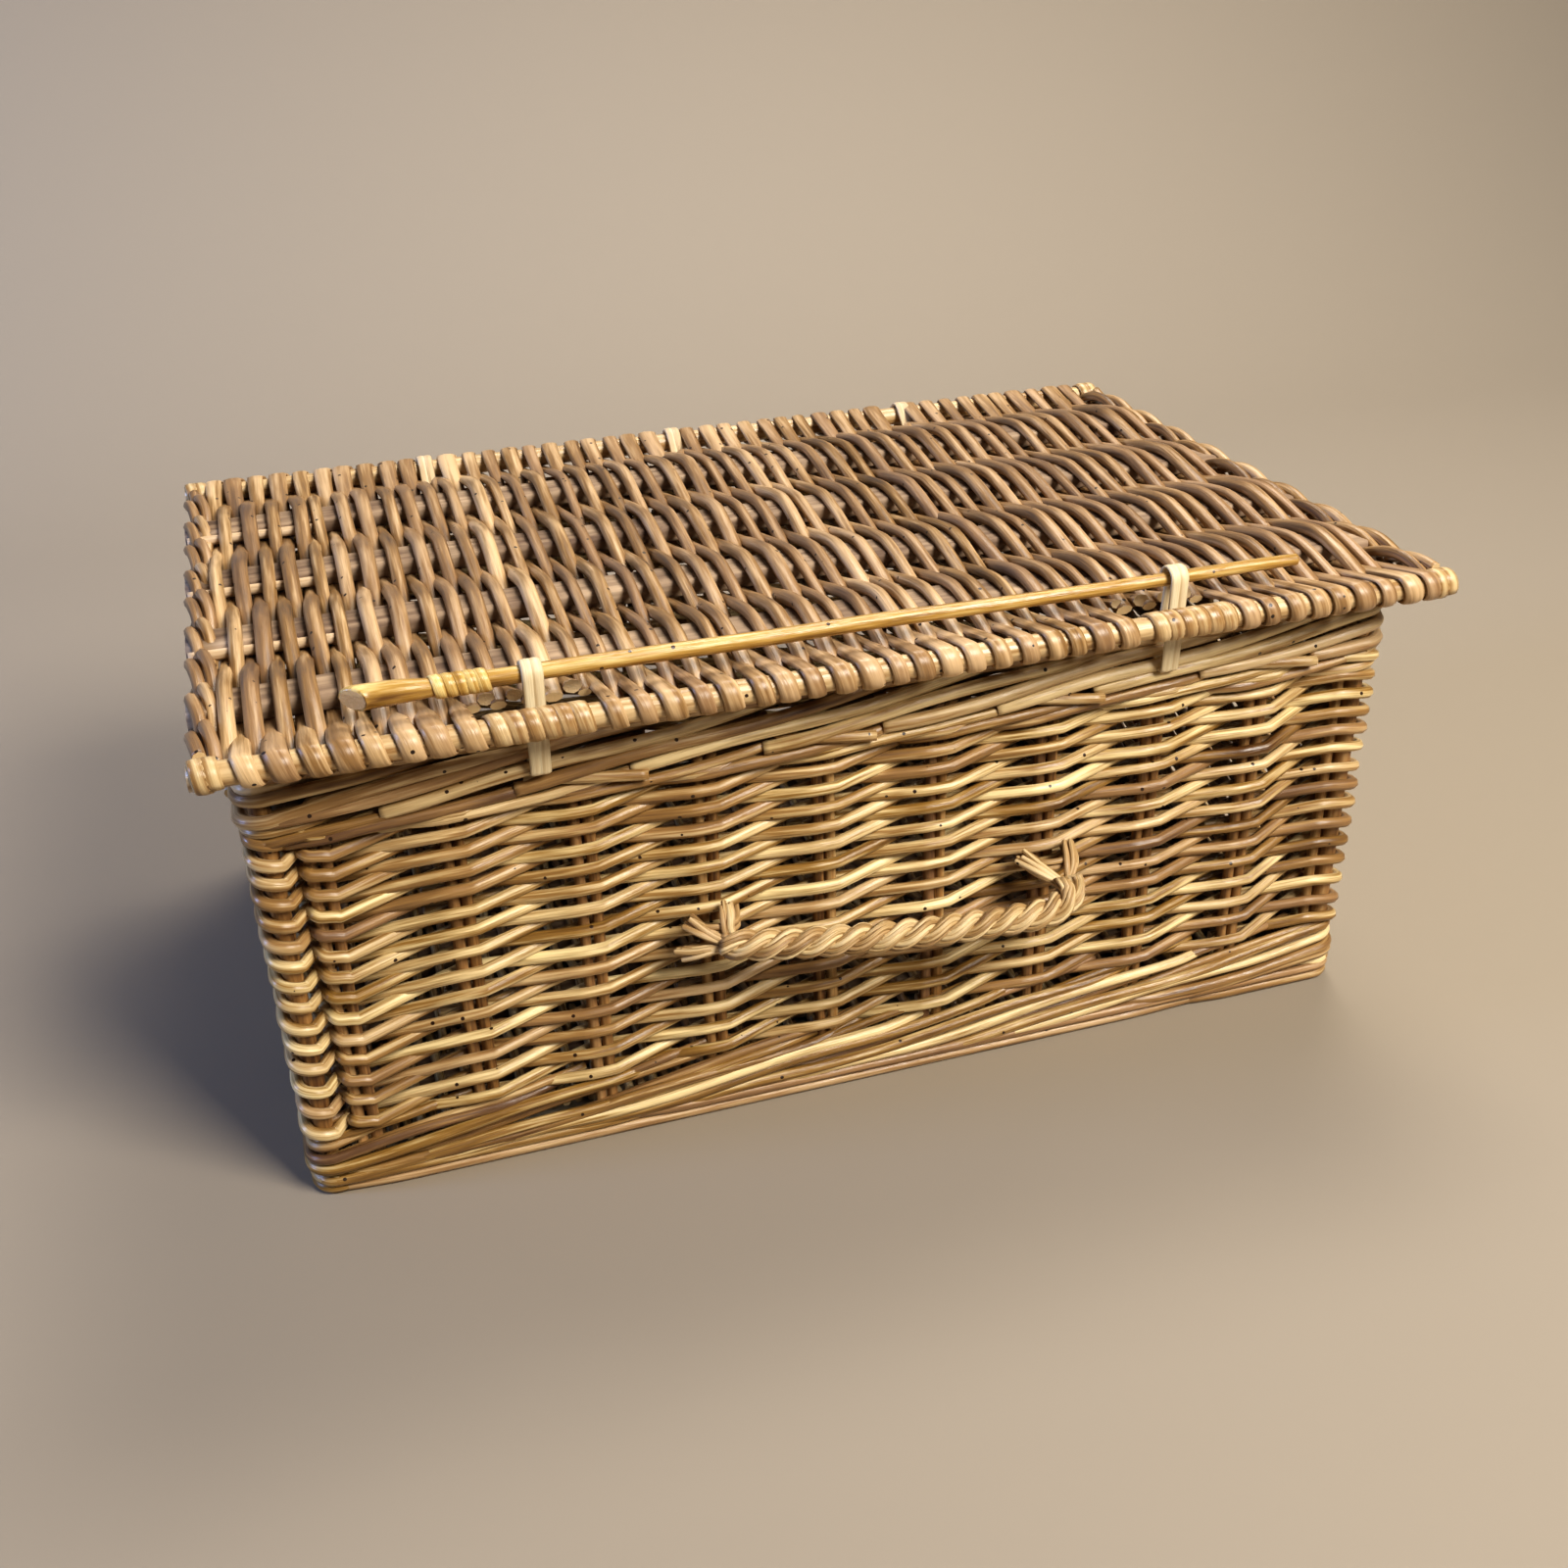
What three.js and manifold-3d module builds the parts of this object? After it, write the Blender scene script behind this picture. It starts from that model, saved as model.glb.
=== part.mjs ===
// A lidded willow hamper: a woven box on a slatted base, a woven lid on three willow hinge rings, two
// hasp loops with a closing rod through them, and a twisted handle on the front wall. Millimetres, +Z up,
// the front faces -Y. The origin is the middle of the underside. Each course of weaving is a plain solid
// of the weaving's outer shape.
import * as THREE from "three";
import { mergeVertices } from "three/addons/utils/BufferGeometryUtils.js";
import Module from "manifold-3d";

const wasm = await Module();
wasm.setup();

const GAP = 0.3;

// Box: outer half sizes at the foot, how far the rim leans out, and the heights of the courses.
const HALF_LENGTH = 255;
const HALF_DEPTH = 160;
const LEAN = 3;
const WALL = 16;
const CORNER_RADIUS = 12;
const INNER_CORNER_RADIUS = 2;
const COURSE_PROUD = 1.5;
const FOOT_TOP = 34;
const SIDING_TOP = 170;
const WALE_TOP = 188;
const RIM_TOP = 212.5;

// Base: a woven slab on flat slats that run along X.
const BASE_THICKNESS = 18;
const BASE_SLATS = 5;
const BASE_SLAT_PITCH = 50;
const SLAT_WIDTH = 22;
const SLAT_THICKNESS = 8;

// Uprights: a thick post in each corner and pairs of rods in the walls. Seen from outside, a wall's first
// pair stands close to its left post, the others follow at an even pitch, and a single rod stands beside
// the right post.
const ROD_DIAMETER = 5.5;
const POST_RADIUS = 4.5;
const POST_INSET = WALL / 2 + 1;
const FIRST_PAIR_FROM_POST = 18;
const SINGLE_FROM_POST = 8.5;
const LONG_WALL_PAIRS = 9;
const SHORT_WALL_PAIRS = 5;
const STAKE_RAIL_HEIGHT = 8;
const STAKE_FOOT = 4;

// Lid: two round rods with four slats between them, woven front to back. Its back rod is the hinge axis.
const LID_Z = 222;
const LID_HALF_LENGTH = 270;
const LID_FRONT_Y = -182.3;
const LID_BACK_Y = 164.2;
const LID_HALF_THICKNESS = 9;
const LID_TAPER = 14;
const LID_ROD_RADIUS = 5.2;
const WRAP_RADIUS = 7.6;
const LID_SLAT_Y = [97, 19, -55, -123];
const END_PAIRING_WIDTH = 12;
const END_PAIRING_HALF_THICKNESS = 7;
const PACKING_ROD_RADIUS = 2.6;
const PACKING_ROD_LENGTH = 62;

// Hinge rings at the back and hasp loops at the front: flat bands that go round a rod and through the rim.
const BAND = 2.8;
const BAND_BEND_RADIUS = 0.6;
const HINGE_X = [-142, 0, 142];
const HINGE_WIDTH = 7;
const HINGE_EYE_RADIUS = 6;
const HINGE_NOTCH_DEPTH = 24;
const HASP_X = [-140, 140];
const HASP_WIDTH = 7;
const HASP_EYE_RADIUS = 4.6;
const WHIPPING_HALF_LENGTH = 23;
const WHIPPING_RADIUS = 7.4;
const SLOT_BACK_Y = -157;

// Closing rod: it lies on the lid just behind the front rod, thick end to the left.
const CLOSING_Y = -166;
const CLOSING_LEFT = -212;
const CLOSING_RIGHT = 200;
const GRIP_RADIUS = 4.9;
const CLOSING_RADIUS = 3.2;
const TIP_RADIUS = 2.8;
const GRIP_END = -183;
const BINDING_START = -180;
const BINDING_END = -154;
const BINDING_RADIUS = 4.4;
const CLOSING_Z = LID_Z + LID_HALF_THICKNESS + 0.5 + GRIP_RADIUS;

// Handle: a twisted bow hooked to two staples, each round one of the front wall's pairs, counted from 0.
const HANDLE_PAIRS = [3, 6];
const HANDLE_AXIS_Y = -173;
const HANDLE_Z = 107;
const HANDLE_REACH = 22;
const BOW_START = 4.5;
const BOW_BEND = 15;
const HANDLE_DROOP = (40 * Math.PI) / 180;
const ROPE_RADIUS = 7;
const STAPLE_RADIUS = 2.4;
const STAPLE_HALF_WIDTH = 10;
const STAPLE_BEND = 4;
const HOOK_WIDTH = 9;

const hamper = new THREE.Group();

function matt(colour, roughness) {
  return new THREE.MeshStandardMaterial({ color: colour, roughness, metalness: 0 });
}

const golden = matt(0xa87c42, 0.55);
const weathered = matt(0x8c6a42, 0.65);
const greySlat = matt(0x7d6a58, 0.8);
const upright = matt(0x8a6536, 0.6);
const pale = matt(0xd8c595, 0.6);
const polished = matt(0xb98a35, 0.4);
const rope = matt(0xb08a50, 0.6);

function piece(name, geometry, material) {
  const mesh = new THREE.Mesh(geometry, material);
  mesh.name = name;
  hamper.add(mesh);
  return mesh;
}

// Booleans: a closed geometry becomes a solid, and a solid becomes a geometry again.
function solid(geometry) {
  const bare = geometry.index ? geometry.toNonIndexed() : geometry.clone();
  bare.deleteAttribute("normal");
  bare.deleteAttribute("uv");
  const merged = mergeVertices(bare, 1e-4);
  const vertProperties = merged.attributes.position.array;
  const triVerts = new Uint32Array(merged.index.array);
  return new wasm.Manifold(new wasm.Mesh({ numProp: 3, vertProperties, triVerts }));
}

function geometryOf(made) {
  const mesh = made.getMesh();
  const geometry = new THREE.BufferGeometry();
  geometry.setAttribute("position", new THREE.BufferAttribute(new Float32Array(mesh.vertProperties), 3));
  geometry.setIndex(new THREE.BufferAttribute(new Uint32Array(mesh.triVerts), 1));
  geometry.computeVertexNormals();
  return geometry;
}

function join(geometries) {
  return geometryOf(geometries.map(solid).reduce((whole, part) => whole.add(part)));
}

function cut(geometry, cutters) {
  return geometryOf(cutters.map(solid).reduce((whole, part) => whole.subtract(part), solid(geometry)));
}

function block(x0, x1, y0, y1, z0, z1) {
  const geometry = new THREE.BoxGeometry(x1 - x0, y1 - y0, z1 - z0);
  return geometry.translate((x0 + x1) / 2, (y0 + y1) / 2, (z0 + z1) / 2);
}

function roundAlongX(radius, x0, x1, y, z, sides = 12) {
  const geometry = new THREE.CylinderGeometry(radius, radius, x1 - x0, sides);
  return geometry.rotateZ(Math.PI / 2).translate((x0 + x1) / 2, y, z);
}

// The box leans out: every upright piece is drawn straight and then widened in proportion to its height.
function leaned(geometry) {
  const position = geometry.attributes.position;
  for (let i = 0; i < position.count; i++) {
    const rise = (LEAN * position.getZ(i)) / RIM_TOP;
    position.setX(i, position.getX(i) * (1 + rise / HALF_LENGTH));
    position.setY(i, position.getY(i) * (1 + rise / HALF_DEPTH));
  }
  geometry.computeVertexNormals();
  return geometry;
}

function roundedRectangle(outline, halfX, halfY, radius) {
  outline.moveTo(halfX - radius, -halfY);
  outline.absarc(halfX - radius, -halfY + radius, radius, -Math.PI / 2, 0);
  outline.absarc(halfX - radius, halfY - radius, radius, 0, Math.PI / 2);
  outline.absarc(-halfX + radius, halfY - radius, radius, Math.PI / 2, Math.PI);
  outline.absarc(-halfX + radius, -halfY + radius, radius, Math.PI, 1.5 * Math.PI);
  return outline;
}

function course(proud, z0, z1) {
  const halfX = HALF_LENGTH + proud;
  const halfY = HALF_DEPTH + proud;
  const outline = roundedRectangle(new THREE.Shape(), halfX, halfY, CORNER_RADIUS + proud);
  const innerX = HALF_LENGTH - WALL;
  const innerY = HALF_DEPTH - WALL;
  outline.holes.push(roundedRectangle(new THREE.Path(), innerX, innerY, INNER_CORNER_RADIUS));
  const options = { depth: z1 - z0, bevelEnabled: false, curveSegments: 4 };
  return new THREE.ExtrudeGeometry(outline, options).translate(0, 0, z0);
}

// Where the uprights stand: the front wall's layout, turned about Z for the others. `middle` is how far
// the middle of the wall's thickness is from the centre, and `reach` is how far its posts are from its
// own middle.
function wall(name, turn, halfSpan, middle, pairs) {
  const reach = halfSpan - POST_INSET;
  const pitch = (2 * reach - FIRST_PAIR_FROM_POST) / pairs;
  const pairsAt = Array.from({ length: pairs }, (_, i) => FIRST_PAIR_FROM_POST - reach + i * pitch);
  return { name, turn, middle, pairsAt, singleAt: reach - SINGLE_FROM_POST };
}

const longMiddle = HALF_DEPTH - WALL / 2;
const shortMiddle = HALF_LENGTH - WALL / 2;
const WALLS = [
  wall("front", 0, HALF_LENGTH, longMiddle, LONG_WALL_PAIRS),
  wall("right", Math.PI / 2, HALF_DEPTH, shortMiddle, SHORT_WALL_PAIRS),
  wall("back", Math.PI, HALF_LENGTH, longMiddle, LONG_WALL_PAIRS),
  wall("left", -Math.PI / 2, HALF_DEPTH, shortMiddle, SHORT_WALL_PAIRS),
];
const handleX = HANDLE_PAIRS.map((i) => WALLS[0].pairsAt[i]);

// A block on a wall, `from` and `to` along it, `inward` and `outward` from the middle of its thickness.
function onWall(side, from, to, inward, outward, z0, z1) {
  return block(from, to, -side.middle - outward, -side.middle + inward, z0, z1).rotateZ(side.turn);
}

function postAt(signX, signY, radius, z0, z1) {
  const geometry = new THREE.CylinderGeometry(radius, radius, z1 - z0, 8);
  geometry.rotateX(Math.PI / 2);
  const x = signX * (HALF_LENGTH - POST_INSET);
  const y = signY * (HALF_DEPTH - POST_INSET);
  return geometry.translate(x, y, (z0 + z1) / 2);
}

const CORNERS = [
  { name: "front_left", x: -1, y: -1 },
  { name: "front_right", x: 1, y: -1 },
  { name: "back_right", x: 1, y: 1 },
  { name: "back_left", x: -1, y: 1 },
];

function uprightChannels(z0, z1, openOutward) {
  const halfWidth = ROD_DIAMETER + GAP;
  const halfDepth = ROD_DIAMETER / 2 + GAP;
  const outward = openOutward ? WALL : halfDepth;
  const socket = POST_RADIUS + GAP;
  const cutters = CORNERS.map((corner) => postAt(corner.x, corner.y, socket, z0 - 1, z1 + 1));
  const channel = (side, from, to) => onWall(side, from, to, halfDepth, outward, z0 - 1, z1 + 1);
  for (const side of WALLS) {
    cutters.push(...side.pairsAt.map((along) => channel(side, along - halfWidth, along + halfWidth)));
    cutters.push(channel(side, side.singleAt - halfDepth, side.singleAt + halfDepth));
  }
  return cutters;
}

// Two touching rods as one outline, extruded upward.
function stakePair(side, along, z0, z1) {
  const r = ROD_DIAMETER / 2;
  const outline = new THREE.Shape();
  outline.moveTo(-2 * r, 0);
  outline.absarc(-r, 0, r, Math.PI, 1.75 * Math.PI);
  outline.absarc(r, 0, r, 1.25 * Math.PI, 2.75 * Math.PI);
  outline.absarc(-r, 0, r, 0.25 * Math.PI, Math.PI);
  const options = { depth: z1 - z0, bevelEnabled: false, curveSegments: 3 };
  const geometry = new THREE.ExtrudeGeometry(outline, options);
  return geometry.translate(along, -side.middle, z0).rotateZ(side.turn);
}

function singleStake(side, z0, z1) {
  const geometry = new THREE.CylinderGeometry(ROD_DIAMETER / 2, ROD_DIAMETER / 2, z1 - z0, 8);
  geometry.rotateX(Math.PI / 2).translate(side.singleAt, -side.middle, (z0 + z1) / 2);
  return geometry.rotateZ(side.turn);
}

// Extrudes an outline drawn in Y and Z along X.
function alongX(outline, x0, x1, curveSegments = 6) {
  const options = { depth: x1 - x0, bevelEnabled: false, curveSegments };
  const geometry = new THREE.ExtrudeGeometry(outline, options);
  return geometry.applyMatrix4(new THREE.Matrix4().set(0, 0, 1, x0, 1, 0, 0, 0, 0, 1, 0, 0, 0, 0, 0, 1));
}

function sleeve(inner, outer, x0, x1, y, z) {
  const outline = new THREE.Shape();
  outline.absarc(y, z, outer, 0, 2 * Math.PI);
  const bore = new THREE.Path();
  bore.absarc(y, z, inner, 0, 2 * Math.PI);
  outline.holes.push(bore);
  return alongX(outline, x0, x1, 8);
}

// A flat band bent round circles in the YZ plane, as a willow ring is bent round a rod. Each circle is
// [y, z, radius].
function hullOf(circles, growth) {
  const sides = 16;
  const points = circles.flatMap(([y, z, radius]) =>
    Array.from({ length: sides }, (_, i) => {
      const angle = (2 * Math.PI * i) / sides;
      const r = radius + growth;
      return new THREE.Vector2(y + r * Math.cos(angle), z + r * Math.sin(angle));
    }),
  );
  points.sort((a, b) => a.x - b.x || a.y - b.y);
  const turnsLeft = (a, b, c) => (b.x - a.x) * (c.y - a.y) - (b.y - a.y) * (c.x - a.x) > 1e-6;
  const chain = (ordered) => {
    const kept = [];
    for (const point of ordered) {
      while (kept.length > 1 && !turnsLeft(kept.at(-2), kept.at(-1), point)) {
        kept.pop();
      }
      kept.push(point);
    }
    return kept.slice(0, -1);
  };
  return [...chain(points), ...chain([...points].reverse())];
}

function ringBand(circles, width, x, slack = 0) {
  const outline = new THREE.Shape(hullOf(circles, BAND + slack));
  outline.holes.push(new THREE.Path(hullOf(circles, -slack)));
  const halfWidth = width / 2 + slack;
  return alongX(outline, x - halfWidth, x + halfWidth);
}

const HINGE_CIRCLES = [
  [LID_BACK_Y, LID_Z, HINGE_EYE_RADIUS],
  [165.4, 202, BAND_BEND_RADIUS],
  [145.8, 202, BAND_BEND_RADIUS],
  [146.6, 213, BAND_BEND_RADIUS],
];
const HASP_CIRCLES = [
  [CLOSING_Y, CLOSING_Z, HASP_EYE_RADIUS],
  [-166.4, 195, BAND_BEND_RADIUS],
  [-162, 195, BAND_BEND_RADIUS],
];

const hingeSlots = HINGE_X.map((x) => ringBand(HINGE_CIRCLES, HINGE_WIDTH, x, 0.4));
const haspSlots = HASP_X.map((x) => ringBand(HASP_CIRCLES, HASP_WIDTH, x, 0.4));

// Staples: a U of willow round a pair of front uprights, with its cross bar along X outside the wall.
function stapleGeometry(x, radius) {
  const inside = -HALF_DEPTH + WALL / 2;
  const bendY = HANDLE_AXIS_Y + STAPLE_BEND;
  const path = new THREE.CurvePath();
  const at = (along, y) => new THREE.Vector3(x + along, y, HANDLE_Z);
  const corner = (sign) => at(sign * STAPLE_HALF_WIDTH, HANDLE_AXIS_Y);
  const leg = (sign, y) => at(sign * STAPLE_HALF_WIDTH, y);
  const bar = (sign) => at(sign * (STAPLE_HALF_WIDTH - STAPLE_BEND), HANDLE_AXIS_Y);
  path.add(new THREE.LineCurve3(leg(-1, inside), leg(-1, bendY)));
  path.add(new THREE.QuadraticBezierCurve3(leg(-1, bendY), corner(-1), bar(-1)));
  path.add(new THREE.LineCurve3(bar(-1), bar(1)));
  path.add(new THREE.QuadraticBezierCurve3(bar(1), corner(1), leg(1, bendY)));
  path.add(new THREE.LineCurve3(leg(1, bendY), leg(1, inside)));
  return tube(path, radius, 8, 16);
}

function tube(path, radius, sides, steps) {
  const section = new THREE.Shape();
  section.absarc(0, 0, radius, 0, 2 * Math.PI);
  const options = { steps, bevelEnabled: false, extrudePath: path, curveSegments: sides / 2 };
  return new THREE.ExtrudeGeometry(section, options);
}

function stapleChannels() {
  const halfWidth = STAPLE_RADIUS + GAP;
  const y0 = -HALF_DEPTH - WALL / 2 - 1;
  const y1 = -HALF_DEPTH + WALL / 2 + 1;
  const z0 = HANDLE_Z - halfWidth;
  const z1 = HANDLE_Z + halfWidth;
  const legs = handleX.flatMap((x) => [x - STAPLE_HALF_WIDTH, x + STAPLE_HALF_WIDTH]);
  return legs.map((x) => block(x - halfWidth, x + halfWidth, y0, y1, z0, z1));
}

// Box: the base.
const baseHalfX = HALF_LENGTH - WALL - GAP;
const baseHalfY = HALF_DEPTH - WALL - GAP;
const baseSlatY = Array.from(
  { length: BASE_SLATS },
  (_, i) => (i - (BASE_SLATS - 1) / 2) * BASE_SLAT_PITCH,
);

function slat(y, z, halfLength, clearance = 0) {
  const halfWidth = SLAT_WIDTH / 2 + clearance;
  const halfHeight = SLAT_THICKNESS / 2 + clearance;
  return block(-halfLength, halfLength, y - halfWidth, y + halfWidth, z - halfHeight, z + halfHeight);
}

const baseCorner = INNER_CORNER_RADIUS + GAP;
const baseOutline = roundedRectangle(new THREE.Shape(), baseHalfX, baseHalfY, baseCorner);
const baseOptions = { depth: BASE_THICKNESS, bevelEnabled: false, curveSegments: 3 };
const baseSlab = new THREE.ExtrudeGeometry(baseOutline, baseOptions);
const baseChannels = baseSlatY.map((y) => slat(y, BASE_THICKNESS / 2, HALF_LENGTH, GAP));
piece("base_weave", cut(baseSlab, baseChannels), golden);
baseSlatY.forEach((y, i) => {
  piece(`base_slat_${i + 1}`, slat(y, BASE_THICKNESS / 2, baseHalfX - 2), greySlat);
});

// Box: the courses of the wall, from the floor up.
const footCourse = course(COURSE_PROUD, 0, FOOT_TOP);
const footWale = cut(footCourse, uprightChannels(STAKE_FOOT + 1 - GAP, FOOT_TOP, false));
piece("foot_wale", leaned(footWale), golden);

const sidingCourse = course(0, FOOT_TOP + GAP, SIDING_TOP);
const siding = cut(sidingCourse, uprightChannels(FOOT_TOP, SIDING_TOP, true));
piece("siding", cut(leaned(siding), stapleChannels()), golden);

const waleCourse = course(COURSE_PROUD, SIDING_TOP + GAP, WALE_TOP);
const topWale = cut(waleCourse, uprightChannels(SIDING_TOP, WALE_TOP, false));
piece("top_wale", leaned(topWale), golden);

// The uprights' tops turn down along the rim and lie in a groove under the border.
const railTop = WALE_TOP + GAP + STAKE_RAIL_HEIGHT;

function rail(side, clearance, z0, z1) {
  const from = side.pairsAt[0] - ROD_DIAMETER - clearance;
  const to = side.singleAt + ROD_DIAMETER / 2 + clearance;
  const halfDepth = ROD_DIAMETER / 2 + clearance;
  return onWall(side, from, to, halfDepth, halfDepth, z0, z1);
}

const railGrooves = WALLS.map((side) => rail(side, GAP, WALE_TOP - 1, railTop + GAP));
const postSockets = CORNERS.map((corner) =>
  postAt(corner.x, corner.y, POST_RADIUS + GAP, WALE_TOP, railTop + GAP),
);
const borderCourse = course(COURSE_PROUD, WALE_TOP + GAP, RIM_TOP);
const border = leaned(cut(borderCourse, [...railGrooves, ...postSockets]));
piece("border", cut(border, [...hingeSlots, ...haspSlots]), golden);

for (const corner of CORNERS) {
  const post = postAt(corner.x, corner.y, POST_RADIUS, STAKE_FOOT, railTop);
  piece(`corner_post_${corner.name}`, leaned(post), upright);
}
for (const side of WALLS) {
  const pairs = side.pairsAt.map((along) => stakePair(side, along, STAKE_FOOT + 1, railTop - 1));
  const single = singleStake(side, STAKE_FOOT + 1, railTop - 1);
  const comb = join([rail(side, 0, WALE_TOP + GAP, railTop), single, ...pairs]);
  piece(`${side.name}_stakes`, leaned(comb), upright);
}

// Box: the rings that hold the lid's back rod, and the loops that take the closing rod.
HINGE_X.forEach((x, i) => {
  piece(`hinge_ring_${i + 1}`, ringBand(HINGE_CIRCLES, HINGE_WIDTH, x), pale);
});
HASP_X.forEach((x, i) => {
  piece(`hasp_loop_${["left", "right"][i]}`, ringBand(HASP_CIRCLES, HASP_WIDTH, x), pale);
});

// Handle: two staples on the box, and the bow that swings on their cross bars.
handleX.forEach((x, i) => {
  piece(`handle_staple_${["left", "right"][i]}`, stapleGeometry(x, STAPLE_RADIUS), pale);
});

// The bow is drawn flat, with `out` the distance from the swing axis, and then turned down to its droop.
function bowGeometry() {
  const [left, right] = handleX;
  const at = (x, out) => new THREE.Vector3(x, -out, 0);
  const leftLeg = at(left, HANDLE_REACH - BOW_BEND);
  const barLeft = at(left + BOW_BEND, HANDLE_REACH);
  const barRight = at(right - BOW_BEND, HANDLE_REACH);
  const rightLeg = at(right, HANDLE_REACH - BOW_BEND);
  const path = new THREE.CurvePath();
  path.add(new THREE.LineCurve3(at(left, BOW_START), leftLeg));
  path.add(new THREE.QuadraticBezierCurve3(leftLeg, at(left, HANDLE_REACH), barLeft));
  path.add(new THREE.LineCurve3(barLeft, barRight));
  path.add(new THREE.QuadraticBezierCurve3(barRight, at(right, HANDLE_REACH), rightLeg));
  path.add(new THREE.LineCurve3(rightLeg, at(right, BOW_START)));
  const hookEye = [[0, 0, STAPLE_RADIUS + 0.6]];
  const hooks = handleX.map((x) => ringBand(hookEye, HOOK_WIDTH, x));
  const bow = join([tube(path, ROPE_RADIUS, 10, 28), ...hooks]);
  return bow.rotateX(HANDLE_DROOP).translate(0, HANDLE_AXIS_Y, HANDLE_Z);
}

piece("handle_rope", bowGeometry(), rope);

// Lid: the weave wraps round both rods, over and under the slats.
function lidSection() {
  const top = LID_Z + LID_HALF_THICKNESS;
  const bottom = LID_Z - LID_HALF_THICKNESS;
  const outline = new THREE.Shape();
  outline.moveTo(LID_FRONT_Y + LID_TAPER, bottom);
  outline.lineTo(LID_BACK_Y - LID_TAPER, bottom);
  outline.absarc(LID_BACK_Y, LID_Z, WRAP_RADIUS, -Math.PI / 2, Math.PI / 2);
  outline.lineTo(LID_BACK_Y - LID_TAPER, top);
  outline.lineTo(LID_FRONT_Y + LID_TAPER, top);
  outline.absarc(LID_FRONT_Y, LID_Z, WRAP_RADIUS, Math.PI / 2, 1.5 * Math.PI);
  for (const y of [LID_FRONT_Y, LID_BACK_Y]) {
    const bore = new THREE.Path();
    bore.absarc(y, LID_Z, LID_ROD_RADIUS + GAP, 0, 2 * Math.PI);
    outline.holes.push(bore);
  }
  return outline;
}

const lidTop = LID_Z + LID_HALF_THICKNESS + 1;
const lidBottom = LID_Z - LID_HALF_THICKNESS - 1;
const weaveHalfLength = LID_HALF_LENGTH - END_PAIRING_WIDTH - GAP;
const slatChannels = LID_SLAT_Y.map((y) => slat(y, LID_Z, LID_HALF_LENGTH + 1, GAP));
const packingRodY = LID_SLAT_Y.slice(0, 3).map((y) => y - SLAT_WIDTH / 2 - PACKING_ROD_RADIUS - 1);
const packingEnd = PACKING_ROD_LENGTH - LID_HALF_LENGTH;
const packingChannels = packingRodY.map((y) =>
  roundAlongX(PACKING_ROD_RADIUS + GAP, -LID_HALF_LENGTH - 1, packingEnd + GAP, y, LID_Z),
);
const hingeNotches = HINGE_X.map((x) => {
  const halfWidth = HINGE_WIDTH / 2 + 1;
  const y0 = LID_BACK_Y - HINGE_NOTCH_DEPTH;
  const y1 = LID_BACK_Y + WRAP_RADIUS + 1;
  return block(x - halfWidth, x + halfWidth, y0, y1, lidBottom, lidTop);
});
const haspNotches = HASP_X.map((x) => {
  const halfWidth = WHIPPING_HALF_LENGTH + GAP;
  const y0 = LID_FRONT_Y - WRAP_RADIUS - 1;
  return block(x - halfWidth, x + halfWidth, y0, SLOT_BACK_Y, lidBottom, lidTop);
});
const lidSlab = alongX(lidSection(), -weaveHalfLength, weaveHalfLength, 8);
const lidCutters = [...slatChannels, ...packingChannels, ...hingeNotches, ...haspNotches];
piece("lid_weave", cut(lidSlab, lidCutters), weathered);

for (const [name, y] of [["front", LID_FRONT_Y], ["back", LID_BACK_Y]]) {
  const rod = roundAlongX(LID_ROD_RADIUS, -LID_HALF_LENGTH, LID_HALF_LENGTH, y, LID_Z, 16);
  piece(`lid_rod_${name}`, rod, upright);
}
LID_SLAT_Y.forEach((y, i) => {
  piece(`lid_slat_${i + 1}`, slat(y, LID_Z, LID_HALF_LENGTH), greySlat);
});
packingRodY.forEach((y, i) => {
  const rod = roundAlongX(PACKING_ROD_RADIUS, 1 - LID_HALF_LENGTH, packingEnd, y, LID_Z);
  piece(`packing_rod_${i + 1}`, rod, pale);
});

// Lid: rows of pairing close the two ends, ties bind the corners, and whippings cover the rod at each loop.
for (const [name, sign] of [["left", -1], ["right", 1]]) {
  const near = sign * (LID_HALF_LENGTH - END_PAIRING_WIDTH);
  const far = sign * LID_HALF_LENGTH;
  const x0 = Math.min(near, far);
  const x1 = Math.max(near, far);
  const y0 = LID_FRONT_Y + WRAP_RADIUS + GAP;
  const y1 = LID_BACK_Y - WRAP_RADIUS - GAP;
  const z0 = LID_Z - END_PAIRING_HALF_THICKNESS;
  const z1 = LID_Z + END_PAIRING_HALF_THICKNESS;
  const strip = block(x0, x1, y0, y1, z0, z1);
  piece(`lid_end_pairing_${name}`, cut(strip, [...slatChannels, ...packingChannels]), golden);
  for (const [end, y] of [["front", LID_FRONT_Y], ["back", LID_BACK_Y]]) {
    const tie = sleeve(LID_ROD_RADIUS + GAP, WRAP_RADIUS, x0, x1, y, LID_Z);
    piece(`corner_tie_${end}_${name}`, tie, pale);
  }
  const middle = sign * Math.abs(HASP_X[0]);
  const from = middle - WHIPPING_HALF_LENGTH;
  const to = middle + WHIPPING_HALF_LENGTH;
  const whipping = sleeve(LID_ROD_RADIUS + GAP, WHIPPING_RADIUS, from, to, LID_FRONT_Y, LID_Z);
  piece(`whipping_${name}`, whipping, golden);
}

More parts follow.
